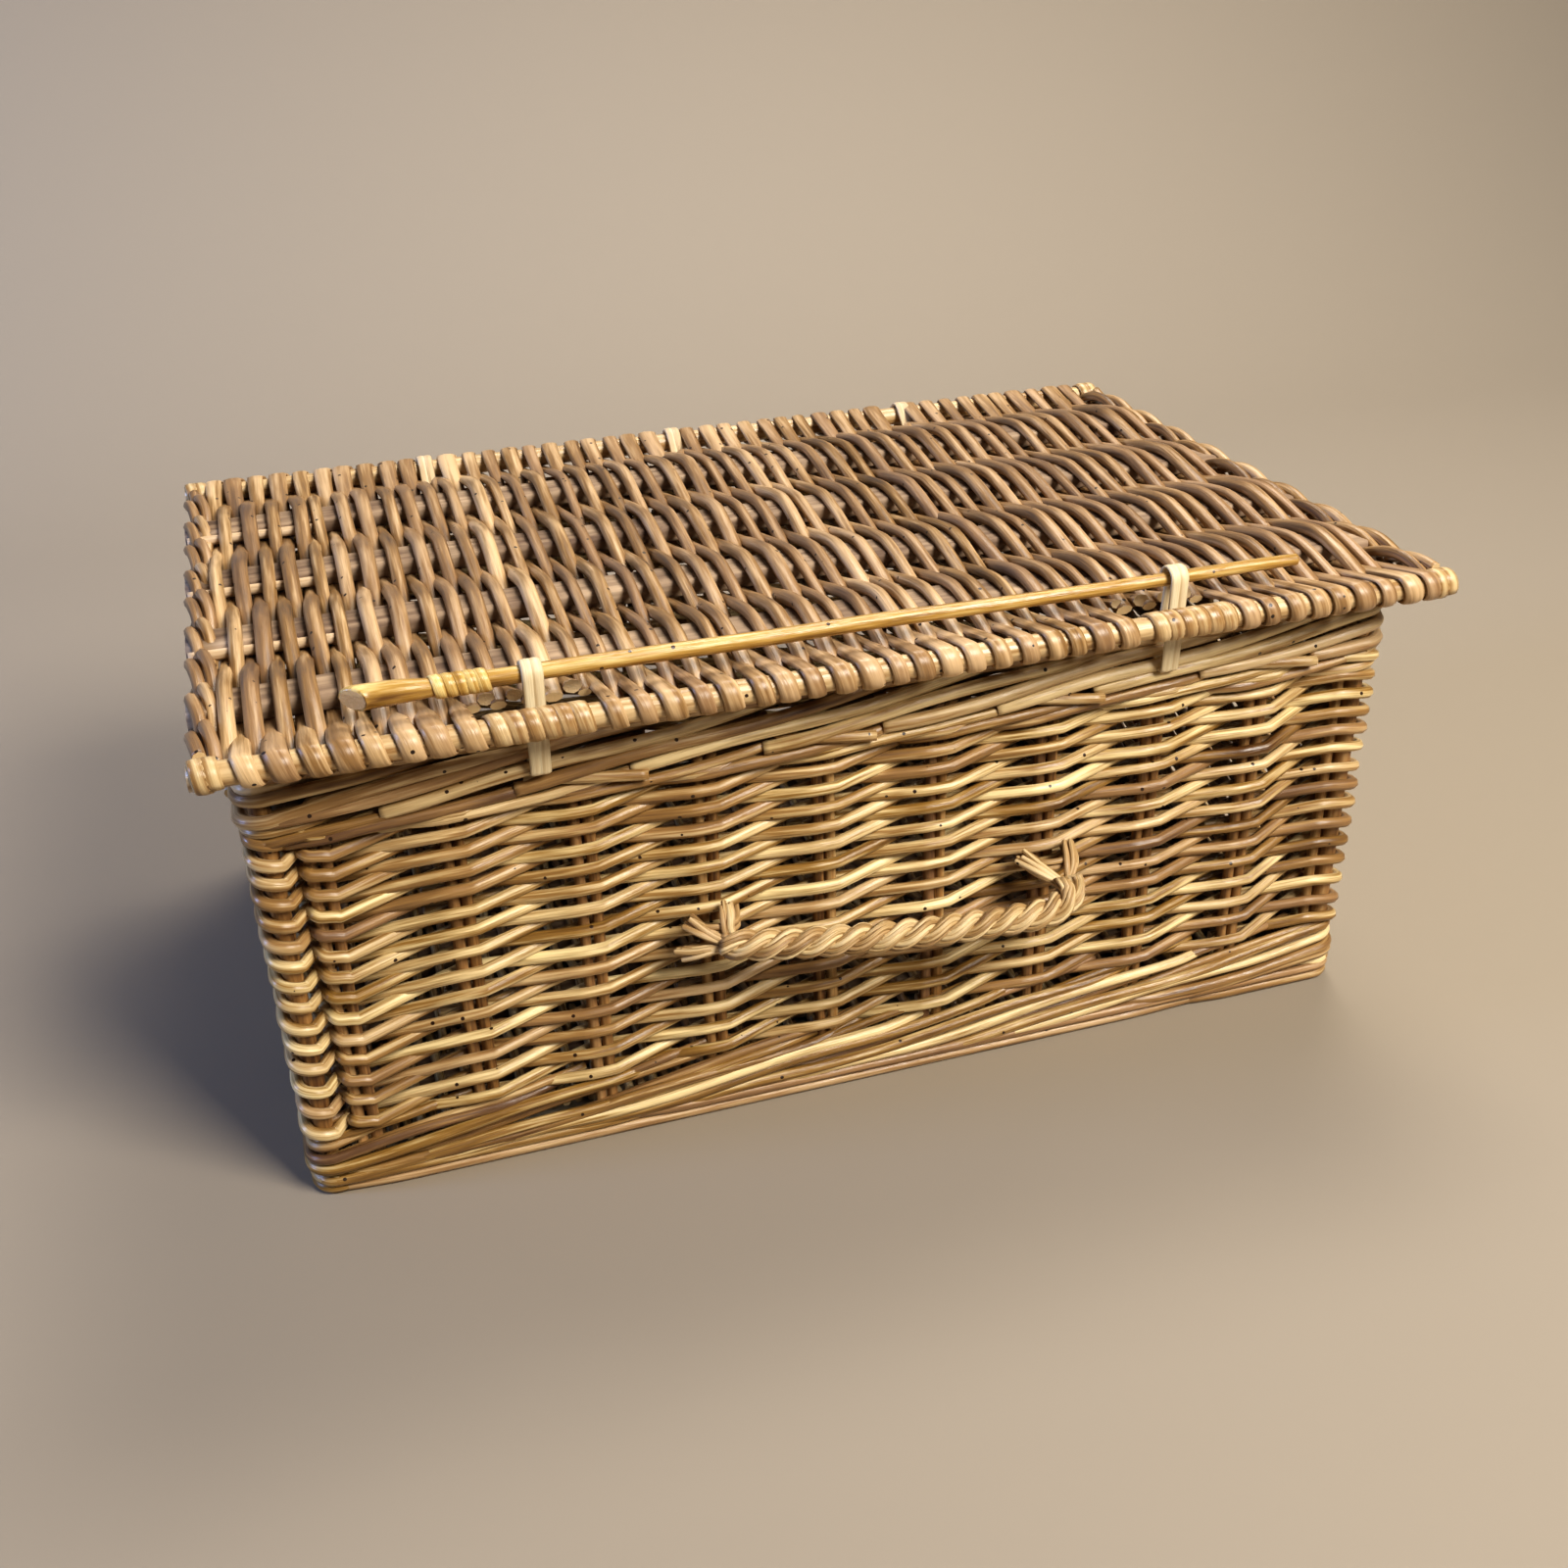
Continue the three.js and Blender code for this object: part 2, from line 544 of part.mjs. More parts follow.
// Closing rod: turned about its own axis and laid along X, with a binding below its thick end.
const rodProfile = [
  [0, CLOSING_LEFT],
  [GRIP_RADIUS, CLOSING_LEFT],
  [GRIP_RADIUS, GRIP_END],
  [CLOSING_RADIUS, GRIP_END + 2],
  [CLOSING_RADIUS, BINDING_END],
  [TIP_RADIUS, CLOSING_RIGHT],
  [0, CLOSING_RIGHT],
].map(([radius, x]) => new THREE.Vector2(radius, x));
const closingRod = new THREE.LatheGeometry(rodProfile, 12);
closingRod.rotateZ(-Math.PI / 2).translate(0, CLOSING_Y, CLOSING_Z);
piece("closing_rod", closingRod, polished);
const bindingBore = CLOSING_RADIUS + GAP;
const binding = sleeve(bindingBore, BINDING_RADIUS, BINDING_START, BINDING_END, CLOSING_Y, CLOSING_Z);
piece("grip_binding", binding, pale);

export default hamper;
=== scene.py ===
import math
import random

import bmesh
import bpy
import numpy as np
from mathutils import Matrix, Vector


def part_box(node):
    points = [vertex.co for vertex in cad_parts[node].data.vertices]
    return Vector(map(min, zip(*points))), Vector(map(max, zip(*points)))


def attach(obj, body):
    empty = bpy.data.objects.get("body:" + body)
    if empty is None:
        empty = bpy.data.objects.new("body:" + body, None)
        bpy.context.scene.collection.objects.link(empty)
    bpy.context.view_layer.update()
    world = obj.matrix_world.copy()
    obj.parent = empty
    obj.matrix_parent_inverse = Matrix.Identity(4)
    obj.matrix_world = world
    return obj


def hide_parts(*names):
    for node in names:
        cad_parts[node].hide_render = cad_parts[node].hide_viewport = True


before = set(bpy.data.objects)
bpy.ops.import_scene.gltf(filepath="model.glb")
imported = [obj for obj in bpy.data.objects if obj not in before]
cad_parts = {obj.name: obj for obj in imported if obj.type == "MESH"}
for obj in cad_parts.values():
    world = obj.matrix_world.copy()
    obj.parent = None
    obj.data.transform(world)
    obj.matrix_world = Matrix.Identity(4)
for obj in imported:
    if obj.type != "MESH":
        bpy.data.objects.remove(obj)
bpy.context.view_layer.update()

MM = 0.001

# Camera: it stands to the left of the front, a little under a metre away, and looks down on the
# lid. A slight roll and a shift of the lens set the box in the frame.
CAMERA_AZIMUTH = math.radians(-17.0)
CAMERA_ELEVATION = math.radians(26.25)
CAMERA_ROLL = math.radians(-1.62)
CAMERA_DISTANCE = 0.897
CAMERA_TARGET = Vector((0.0129, 0, 0.107))
SENSOR_WIDTH = 36
LENS = 38.9
LENS_SHIFT = -0.0326

back = Vector((
    math.sin(CAMERA_AZIMUTH) * math.cos(CAMERA_ELEVATION),
    -math.cos(CAMERA_AZIMUTH) * math.cos(CAMERA_ELEVATION),
    math.sin(CAMERA_ELEVATION),
))
level = Vector((0, 0, 1)).cross(back).normalized()
turned = Matrix.Rotation(CAMERA_ROLL, 3, back)
camera_x = turned @ level
camera_y = turned @ back.cross(level)
camera_data = bpy.data.cameras.new("camera")
camera = bpy.data.objects.new("camera", camera_data)
bpy.context.scene.collection.objects.link(camera)
bpy.context.scene.camera = camera
camera_data.sensor_width = SENSOR_WIDTH
camera_data.lens = LENS
camera_data.shift_y = LENS_SHIFT
camera_axes = Matrix((camera_x, camera_y, back)).transposed().to_4x4()
camera_place = CAMERA_TARGET + CAMERA_DISTANCE * back
camera.matrix_world = Matrix.Translation(camera_place) @ camera_axes

# Floor: one sheet of pale paper, flat under the hamper and swept up behind it in a wide bend. It is
# matt, so that it takes a soft shadow and no shine.
SWEEP_HALF_WIDTH = 3.0
SWEEP_FRONT = -3.0
SWEEP_START = 0.75
SWEEP_RADIUS = 0.6
SWEEP_STEPS = 12
SWEEP_HEIGHT = 2.6
PAPER_COLOUR = (0.295, 0.247, 0.188, 1)

sweep = bmesh.new()
profile = [(SWEEP_FRONT, 0), (SWEEP_START, 0)]
for step in range(1, SWEEP_STEPS + 1):
    angle = step / SWEEP_STEPS * math.pi / 2
    y = SWEEP_START + SWEEP_RADIUS * math.sin(angle)
    profile.append((y, SWEEP_RADIUS * (1 - math.cos(angle))))
profile.append((SWEEP_START + SWEEP_RADIUS, SWEEP_HEIGHT))
line = [sweep.verts.new((-SWEEP_HALF_WIDTH, y, z)) for y, z in profile]
edges = [sweep.edges.new(pair) for pair in zip(line, line[1:])]
drawn = bmesh.ops.extrude_edge_only(sweep, edges=edges)
across = [v for v in drawn["geom"] if isinstance(v, bmesh.types.BMVert)]
bmesh.ops.translate(sweep, vec=(2 * SWEEP_HALF_WIDTH, 0, 0), verts=across)
bmesh.ops.recalc_face_normals(sweep, faces=sweep.faces)
for face in sweep.faces:
    face.smooth = True
sweep_mesh = bpy.data.meshes.new("floor")
sweep.to_mesh(sweep_mesh)
sweep.free()
floor = bpy.data.objects.new("floor", sweep_mesh)
bpy.context.scene.collection.objects.link(floor)

paper = bpy.data.materials.new("floor_paper")
paper.use_nodes = True
paper_surface = paper.node_tree.nodes["Principled BSDF"]
paper_surface.inputs["Base Color"].default_value = PAPER_COLOUR
paper_surface.inputs["Roughness"].default_value = 0.75
floor.data.materials.append(paper)

# Lights: a large warm light from the front right, a smaller blue one on the left of the backdrop and
# one over the back, in a dim cool room. The contrast is a little above plain, as in hard daylight.
ROOM_COLOUR = (0.80, 0.84, 0.92, 1)
ROOM_STRENGTH = 0.10


def softbox(name, at, aim, size, power, colour):
    """A square light at a place in the room, aimed at another."""
    data = bpy.data.lights.new(name, "AREA")
    data.size = size
    data.energy = power
    data.color = colour
    lamp = bpy.data.objects.new(name, data)
    bpy.context.scene.collection.objects.link(lamp)
    lamp.location = at
    lamp.rotation_mode = "QUATERNION"
    lamp.rotation_quaternion = (Vector(aim) - Vector(at)).to_track_quat("-Z", "Y")


softbox("key", (0.76, -1.38, 1.56), (0.09, 0, 0.1), 0.85, 58, (1.0, 0.95, 0.87))
softbox("left", (-2.2, 0.1, 0.9), (-0.95, 1.05, 0.15), 0.6, 36, (0.36, 0.52, 1.0))
softbox("overhead", (0.6, 0.9, 2.1), (0.3, 1.3, 0.5), 1.0, 37, (1.0, 0.96, 0.9))
world = bpy.data.worlds.new("room")
world.use_nodes = True
room = world.node_tree.nodes["Background"]
room.inputs["Color"].default_value = ROOM_COLOUR
room.inputs["Strength"].default_value = ROOM_STRENGTH
bpy.context.scene.world = world
bpy.context.scene.view_settings.view_transform = "Standard"
bpy.context.scene.view_settings.look = "Medium High Contrast"

# Uprights: a thick post in each corner and pairs of brown rods between them, pushed into the base and
# turned down along the rim. Seen from outside, a wall's first pair stands close to its left post and
# a single rod stands beside the right one.
SIDES = 8
POST_SIDES = 12
STAKE_RADIUS = 2.75
STAKE_PLAY = 0.15
STAKE_HEIGHTS = (4, 40, 80, 120, 160, 186)
POST_RADIUS = 4.5
POST_PLAY = 0.1
POST_HEIGHTS = (4, 50, 100, 150)
FIRST_PAIR_FROM_POST = 18
SINGLE_FROM_POST = 8.5
TURNED_DOWN = 26
LONG_WALL_PAIRS = 9
SHORT_WALL_PAIRS = 5
RIM_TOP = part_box("border")[1].z / MM
LEAN = 3
BOX_HALF = (255, 160)
post_low, post_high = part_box("corner_post_front_right")
POST_X = post_low.x / MM + POST_RADIUS - POST_PLAY
POST_Y = -post_high.y / MM + POST_RADIUS - POST_PLAY
STAKE_TOP = post_high.z / MM


def leaned(points):
    """The box's walls lean out a little as they rise."""
    rise = LEAN * points[:, 2] / RIM_TOP
    points[:, 0] *= 1 + rise / BOX_HALF[0]
    points[:, 1] *= 1 + rise / BOX_HALF[1]
    return points


CORNER_CUT = 0.25


def eased(points, rounds=2):
    """Rounds the bends of a rod. Its rows hold x, y, z, radius, flatness and a lightness offset for
    painted light and shade.
    """
    points = np.array([[*row, 0.0][:6] for row in points])
    for _ in range(rounds):
        near = points[:-1] * (1 - CORNER_CUT) + points[1:] * CORNER_CUT
        far = points[:-1] * CORNER_CUT + points[1:] * (1 - CORNER_CUT)
        cut = np.empty((2 * len(near), points.shape[1]))
        cut[0::2], cut[1::2] = near, far
        points = np.vstack([points[:1], cut, points[-1:]])
    return points


METRES_BETWEEN_GRAINS = 3


def bundle(name, rods, body, material, replaced, sides=SIDES, widen=0.35, thin=0.5):
    """One piece from many rods. A rod is its rows and its tone; a flat rod is wider along X."""
    curve = bpy.data.curves.new(name + "_paths", "CURVE")
    curve.dimensions = "3D"
    curve.bevel_depth = MM
    curve.bevel_resolution = (sides - 4) // 2
    for rows, tone in rods:
        spline = curve.splines.new("POLY")
        spline.points.add(len(rows) - 1)
        places = np.ones((len(rows), 4))
        places[:, :3] = rows[:, :3] * MM
        spline.points.foreach_set("co", places.ravel())
        spline.points.foreach_set("radius", rows[:, 3].copy())
        spline.use_smooth = True
    paths = bpy.data.objects.new(name + "_paths", curve)
    bpy.context.scene.collection.objects.link(paths)
    mesh = bpy.data.meshes.new_from_object(paths)
    bpy.data.objects.remove(paths)
    bpy.data.curves.remove(curve)
    mesh.name = name

    turns = np.arange(sides) * 2 * np.pi / sides
    centres = np.vstack([rows[:, :3] for rows, _ in rods]) * MM
    flatness = np.concatenate([rows[:, 4] for rows, _ in rods])
    verts = np.empty(len(mesh.vertices) * 3, np.float32)
    mesh.vertices.foreach_get("co", verts)
    rings = verts.reshape(-1, sides, 3) - centres[:, None, :]
    rings[:, :, 0] *= 1 + widen * flatness[:, None]
    rings[:, :, 1:] *= 1 - thin * flatness[:, None, None]
    mesh.vertices.foreach_set("co", (rings + centres[:, None, :]).astype(np.float32).ravel())
    marks, tones = [], []
    for rows, tone in rods:
        steps = np.linalg.norm(np.diff(rows[:, :3], axis=0), axis=1) * MM
        along = np.concatenate([[0], np.cumsum(steps)]) + tone[2] * METRES_BETWEEN_GRAINS
        ring = np.column_stack([np.zeros(sides), np.cos(turns), np.sin(turns)])
        mark = np.repeat(ring[None], len(rows), axis=0)
        mark[:, :, 0] = along[:, None]
        marks.append(mark.reshape(-1, 3))
        colour = np.tile(tone, (len(rows), 1))
        # The sixth column lightens or darkens the tone there: painted light and shade.
        colour[:, 0] += rows[:, 5]
        tones.append(np.repeat(colour, sides, axis=0))
    for label, values in (("rod", marks), ("tone", tones)):
        layer = mesh.attributes.new(label, "FLOAT_VECTOR", "POINT")
        layer.data.foreach_set("vector", np.vstack(values).astype(np.float32).ravel())

    closing = bmesh.new()
    closing.from_mesh(mesh)
    cut_mark = closing.faces.layers.float.new("cut")
    rims = [edge for edge in closing.edges if edge.is_boundary]
    ends = bmesh.ops.holes_fill(closing, edges=rims, sides=0)
    for face in ends["faces"]:
        face.smooth = False
        face[cut_mark] = 1
    closing.to_mesh(mesh)
    closing.free()
    mesh.materials.clear()
    mesh.materials.append(material)
    piece = bpy.data.objects.new(name, mesh)
    bpy.context.scene.collection.objects.link(piece)
    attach(piece, body)
    if replaced:
        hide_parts(*replaced)
    return piece


def tone(source, light, spread=0.12, pink=0.3):
    """A rod's own colour: how light it is, how pink it is, and a number that sets its grain apart."""
    return (
        min(1, max(0, source.gauss(light, spread))),
        min(1, max(0, source.gauss(pink, 0.25))),
        source.random(),
    )


def willow(name, dark, middle, light, blush, roughness, flecks=0.5):
    """Willow: each rod has its own tone, streaks along it, dark flecks and a satin skin."""
    material = bpy.data.materials.new(name)
    material.use_nodes = True
    nodes, links = material.node_tree.nodes, material.node_tree.links
    skin = nodes["Principled BSDF"]

    def node(kind, **settings):
        made = nodes.new("ShaderNode" + kind)
        for key, value in settings.items():
            setattr(made, key, value)
        return made

    def maths(operation, a, b):
        made = node("Math", operation=operation)
        for socket, value in zip(made.inputs, (a, b)):
            if isinstance(value, (int, float)):
                socket.default_value = value
            else:
                links.new(value, socket)
        return made.outputs[0]

    rod = node("Attribute", attribute_name="rod")
    own = node("Attribute", attribute_name="tone")
    parts = node("SeparateXYZ")
    links.new(own.outputs["Vector"], parts.inputs[0])
    # The lightness also holds the painted light and shade that some rods carry along their length.
    lightness, pinkness, seed = parts.outputs

    def along(scale, detail, stretch):
        """Noise along the rod. `stretch` is how fast it changes there, in waves per metre."""
        place = node("Mapping")
        place.inputs["Scale"].default_value = (stretch, 1, 1)
        links.new(rod.outputs["Vector"], place.inputs["Vector"])
        noise = node("TexNoise", noise_dimensions="4D")
        noise.inputs["Scale"].default_value = scale
        noise.inputs["Detail"].default_value = detail
        links.new(place.outputs[0], noise.inputs["Vector"])
        links.new(maths("MULTIPLY", seed, 91.0), noise.inputs["W"])
        return noise.outputs["Fac"]

    patches = along(1.0, 2, 22)
    streaks = along(3.4, 3, 16)
    fibres = along(9.0, 2, 10)
    value = maths("MULTIPLY_ADD", patches, 1.3)
    value.node.inputs[2].default_value = -0.65
    value = maths("ADD", lightness, value)
    streaky = maths("MULTIPLY_ADD", streaks, 0.7)
    streaky.node.inputs[2].default_value = -0.35
    value = maths("ADD", value, streaky)
    ramp = node("ValToRGB")
    ramp.color_ramp.elements[0].position = 0.08
    ramp.color_ramp.elements[0].color = (*dark, 1)
    ramp.color_ramp.elements[1].position = 0.92
    ramp.color_ramp.elements[1].color = (*light, 1)
    ramp.color_ramp.elements.new(0.5).color = (*middle, 1)
    links.new(value, ramp.inputs[0])

    pinker = node("Mix", data_type="RGBA")
    pinker.inputs["B"].default_value = (*blush, 1)
    links.new(ramp.outputs["Color"], pinker.inputs["A"])
    links.new(maths("MULTIPLY", pinkness, patches), pinker.inputs["Factor"])

    place = node("TexCoord")
    spots = node("TexVoronoi")
    spots.inputs["Scale"].default_value = 170
    links.new(place.outputs["Object"], spots.inputs["Vector"])
    chance = node("SeparateColor")
    links.new(spots.outputs["Color"], chance.inputs[0])
    rare = maths("GREATER_THAN", chance.outputs[0], 1 - 0.16 * flecks)
    near = maths("LESS_THAN", spots.outputs["Distance"], 0.15)
    spotted = node("Mix", data_type="RGBA")
    spotted.inputs["B"].default_value = (dark[0] * 0.35, dark[1] * 0.3, dark[2] * 0.3, 1)
    links.new(maths("MULTIPLY", rare, near), spotted.inputs["Factor"])
    links.new(pinker.outputs["Result"], spotted.inputs["A"])
    cut = node("Attribute", attribute_name="cut")
    pith = node("Mix", data_type="RGBA")
    pith.inputs["B"].default_value = (0.68, 0.50, 0.27, 1)
    links.new(cut.outputs["Fac"], pith.inputs["Factor"])
    links.new(spotted.outputs["Result"], pith.inputs["A"])
    links.new(pith.outputs["Result"], skin.inputs["Base Color"])

    rough = node("MapRange")
    rough.inputs["To Min"].default_value = roughness - 0.12
    rough.inputs["To Max"].default_value = roughness + 0.14
    links.new(streaks, rough.inputs["Value"])
    links.new(rough.outputs["Result"], skin.inputs["Roughness"])
    relief = node("Bump")
    relief.inputs["Strength"].default_value = 0.55
    relief.inputs["Distance"].default_value = 0.0005
    links.new(maths("ADD", maths("MULTIPLY", fibres, 0.45), streaks), relief.inputs["Height"])
    links.new(relief.outputs["Normal"], skin.inputs["Normal"])
    return material


stake_willow = willow(
    "stake_willow",
    dark=(0.09, 0.036, 0.011),
    middle=(0.38, 0.20, 0.065),
    light=(0.66, 0.44, 0.19),
    blush=(0.40, 0.23, 0.12),
    roughness=0.45,
)

WALL_NAMES = ("front", "right", "back", "left")


def wall_axes(turn):
    """A wall's direction, seen from outside from left to right, and the direction out of it."""
    angle = turn * math.pi / 2
    t = np.array([round(math.cos(angle)), round(math.sin(angle))])
    return t, np.array([t[1], -t[0]])


units = []
uprights = {name: [] for name in WALL_NAMES}
chance = random.Random(11)
for turn, wall_name in enumerate(WALL_NAMES):
    t, n = wall_axes(turn)
    long_wall = turn % 2 == 0
    reach = POST_X if long_wall else POST_Y
    depth = (POST_Y if long_wall else POST_X) + 1
    count = LONG_WALL_PAIRS if long_wall else SHORT_WALL_PAIRS
    pitch = (2 * reach - FIRST_PAIR_FROM_POST) / count
    for i in range(count):
        at = t * (FIRST_PAIR_FROM_POST - reach + i * pitch) + n * depth
        units.append({"turn": turn, "at": at, "t": t, "n": n, "corner": False, "first": i == 0})
        for side in (-1, 1):
            uprights[wall_name].append((at + t * side * (STAKE_RADIUS + STAKE_PLAY), t))
    corner = t * reach + n * (depth - 1)
    units.append({"turn": turn, "at": corner, "t": t, "n": n, "corner": True, "first": False})
    uprights[wall_name].append((t * (reach - SINGLE_FROM_POST) + n * depth, t))


def standing(at, t, radius, source):
    """One upright, turned down to the right under the border."""
    rows = []
    for z in STAKE_HEIGHTS:
        x, y = at + t * source.gauss(0, 0.35)
        rows.append([x, y, z, radius * source.uniform(0.94, 1.04), 0])
    to_post = (POST_X if t[0] else POST_Y) - float(at @ t)
    room = TURNED_DOWN if to_post > TURNED_DOWN else to_post - 5
    rows.append([*(at + t * room * 0.35), STAKE_TOP - 1.5, radius * 0.95, 0])
    rows.append([*(at + t * room), STAKE_TOP - 0.5, radius * 0.9, 0])
    return leaned(eased(rows))


for wall_name in WALL_NAMES:
    rods = []
    for at, t in uprights[wall_name]:
        rods.append((standing(at, t, STAKE_RADIUS - 0.1, chance), tone(chance, 0.45)))
    replaced = [wall_name + "_stakes"]
    bundle(wall_name + "_uprights", rods, "basket", stake_willow, replaced)
for unit in units:
    if unit["corner"]:
        x, y = unit["at"]
        corner_name = ("back" if y > 0 else "front") + "_" + ("right" if x > 0 else "left")
        rows = []
        for z in (*POST_HEIGHTS, STAKE_TOP):
            rows.append([x, y, z, POST_RADIUS * chance.uniform(0.96, 1.02), 0])
        rods = [(leaned(eased(rows)), tone(chance, 0.4))]
        replaced = ["corner_post_" + corner_name]
        post_name = "post_" + corner_name
        bundle(post_name, rods, "basket", stake_willow, replaced, POST_SIDES)

# Siding: French randing in buff willow. One rod starts at every upright and is woven in front of one
# and behind the next. It rises a row each time it comes to the front, so that every rod climbs the
# wall as it goes round, and a new rod is laid in where one runs out.
FIRST_ROW = 35
ROWS = 15
ROW_AT_FOOT = 11.3
ROW_SHRINK = 0.16
RISE_BEHIND = 0.62
RISE_BEHIND_FIRST = 0.1
RISE_BEHIND_POST = 0.95
ROD_CLEARANCE = 0.05
SIDING_RADIUS = (2.45, 2.9)
SIDING_TONE = (0.56, 0.12)

buff_willow = willow(
    "buff_willow",
    dark=(0.075, 0.029, 0.006),
    middle=(0.29, 0.158, 0.036),
    light=(0.87, 0.69, 0.36),
    blush=(0.43, 0.26, 0.15),
    roughness=0.31,
    flecks=1.0,
)


def outside(unit, radius):
    """Where a rod lies in front of an upright, and how far above and below its row it is there."""
    at, t, n = unit["at"], unit["t"], unit["n"]
    reach = n * (STAKE_RADIUS + radius)
    if unit["first"]:
        start = [at - t * 4.5 + reach * 0.9, at - t * 3 + reach]
        return start + [at + t * 2.8 + reach, at + t * 4.3 + reach * 0.97], (1.0, -1.2)
    if not unit["corner"]:
        start = [at - t * 6 + reach * 0.96, at + t * 4.4 + reach]
        return start + [at + t * 5.9 + reach * 0.97], (-0.3, 0.35)
    clear = POST_RADIUS + radius
    start = [at - t * 11 + reach + n * 1.2, at + n * clear, at + (n + t) * clear * 0.74]
    return start + [at + t * clear, at + (t * 0.8 - n * 0.62) * clear], (2.6, -2.2)


def inside(unit, radius):
    """Where a rod lies as it passes behind an upright, and how much of a row it has risen there."""
    at, t, n = unit["at"], unit["t"], unit["n"]
    if not unit["corner"]:
        reach = -n * (STAKE_RADIUS + radius)
        risen = RISE_BEHIND_FIRST if unit["first"] else RISE_BEHIND
        return [at - t * 5.2 + reach, at + t * 5.2 + reach], risen
    clear = POST_RADIUS + radius
    start = [at - t * 13 - n * (STAKE_RADIUS + radius), at - (n + t) * clear * 0.78]
    return start + [at - n * 9 - t * clear], RISE_BEHIND_POST


def crossing(places, z0, z1, radius):
    """The rows of a rod that goes through some places and rises evenly."""
    heights = np.linspace(z0, z1, len(places))
    return [[place[0], place[1], z, radius, 0] for place, z in zip(places, heights)]


def new_rod(source, shortest, longest):
    """The tone, the radius and the number of strokes of the next rod."""
    rod_tone = tone(source, *SIDING_TONE)
    return rod_tone, source.uniform(*SIDING_RADIUS), source.randint(shortest, longest)


chance = random.Random(29)
strands = []
for start in range(len(units)):
    rod_tone, radius, strokes_left = new_rod(chance, 2, 6)
    places, _ = inside(units[start - 1], radius)
    rows = [[*place, FIRST_ROW - 4.6, radius, 0] for place in places]
    for row in range(ROWS):
        front_unit = units[(start + 2 * row) % len(units)]
        back_unit = units[(start + 2 * row + 1) % len(units)]
        z = FIRST_ROW + ROW_AT_FOOT * row - ROW_SHRINK * row * (row - 1) / 2
        z += chance.gauss(0, 0.4)
        places, (enter, leave) = outside(front_unit, radius + ROD_CLEARANCE)
        front = crossing(places, z + enter, z + leave, radius)
        places, share = inside(back_unit, radius + ROD_CLEARANCE)
        risen = z + (ROW_AT_FOOT - ROW_SHRINK * row) * share
        behind = crossing(places, risen - 0.2, risen + 0.2, radius)
        before = np.array(rows[-1])
        rows.append(list(before + (np.array(front[0]) - before) * 0.88))
        rows += front
        kink = np.array(front[-1])
        rows.append(list(kink + (np.array(behind[0]) - kink) * 0.05))
        rows += behind
        strokes_left -= 1
        if strokes_left == 0 or row == ROWS - 1:
            end = np.array(rows[-1])
            t, n = back_unit["t"], back_unit["n"]
            tail = -n * 10 if back_unit["corner"] else t * 13 - n * 4
            rows.append([*(end[:2] + tail), end[2] + 1, radius * 0.9, 0])
            strands.append((leaned(eased(rows)), rod_tone))
            rod_tone, radius, strokes_left = new_rod(chance, 4, 7)
            lead = end[:2] - t * (4 if back_unit["corner"] else 20) - n * 3.5
            rows = [[*lead, end[2] - 1.5, radius, 0]]
            rows.append([*(end[:2] - n * 0.5), end[2] - 0.5, radius, 0])
half = len(strands) // 2
bundle("siding_rods_a", strands[:half], "basket", buff_willow, ["siding"])
bundle("siding_rods_b", strands[half:], "basket", buff_willow, ["siding"])

# Foot wale, top wale and border: longer buff rods that bind the foot and the rim. Each starts low
# behind an upright, passes in front of several and rises to the right over the ones before it, and
# its end is tucked in behind the next.
CORNER_INSET = 2.5
STRAIGHT_X = 2 * (POST_X - CORNER_INSET)
STRAIGHT_Y = 2 * (POST_Y - CORNER_INSET)
CORNER_ARC = 10
ROUND = 2 * (STRAIGHT_X + STRAIGHT_Y) + 4 * CORNER_ARC


def on_wall(s, out):
    """The point `s` round the box from the front left corner, `out` from the middle of the wall."""
    s %= ROUND
    for turn in range(4):
        t, n = wall_axes(turn)
        straight = STRAIGHT_X if turn % 2 == 0 else STRAIGHT_Y
        reach = (POST_X if turn % 2 == 0 else POST_Y) - CORNER_INSET
        depth = (POST_Y if turn % 2 == 0 else POST_X) - CORNER_INSET
        radius = CORNER_INSET + 1 + out
        if s <= straight:
            return t * (s - reach) + n * (depth + radius)
        s -= straight
        if s <= CORNER_ARC:
            angle = s / CORNER_ARC * math.pi / 2
            return t * (reach + radius * math.sin(angle)) + n * (depth + radius * math.cos(angle))
        s -= CORNER_ARC
    return on_wall(0, out)


def s_of(unit):
    """How far round the box an upright stands."""
    turn = unit["turn"]
    start = sum((STRAIGHT_X if k % 2 == 0 else STRAIGHT_Y) + CORNER_ARC for k in range(turn))
    reach = (POST_X if turn % 2 == 0 else POST_Y) - CORNER_INSET
    return start + float(unit["at"] @ unit["t"]) + reach


def laid(s0, length, profile, radius, source, wander=0.5):
    """A rod along the wall. A row of `profile` is (share of its length, out, height)."""
    shares, outs, heights = zip(*profile)
    places = set(np.linspace(s0, s0 + length, max(4, int(length / 9))))
    corner = 0.0
    for k in range(8):
        corner += STRAIGHT_X if k % 2 == 0 else STRAIGHT_Y
        bend = [corner + step * CORNER_ARC / 4 for step in range(5)]
        places |= {s for s in bend if s0 < s < s0 + length}
        corner += CORNER_ARC
    rows = []
    phase = source.uniform(0, 6.28)
    for s in sorted(places):
        share = (s - s0) / length
        x, y = on_wall(s, np.interp(share, shares, outs))
        z = np.interp(share, shares, heights) + wander * math.sin(phase + s * 0.05)
        rows.append([x, y, z, radius * (1.04 - 0.12 * share), 0])
    return leaned(eased(rows, 1))


def ring_lengths(start, shortest, longest, source):
    """Where each rod of a ring starts and how long it is. They are laid end to end."""
    s = start
    while s < ROUND + start - 1:
        length = min(source.uniform(shortest, longest), ROUND + start - s)
        yield s, length
        s += length


FOOT_RINGS = ((6.2, 2.7), (6.6, 7.4), (1.5, 2.6), (-3.0, 3.0))
CROWN_RINGS = (0.8, -4.4)
RING_RADIUS = 2.45
CROWN_RADIUS = 2.7

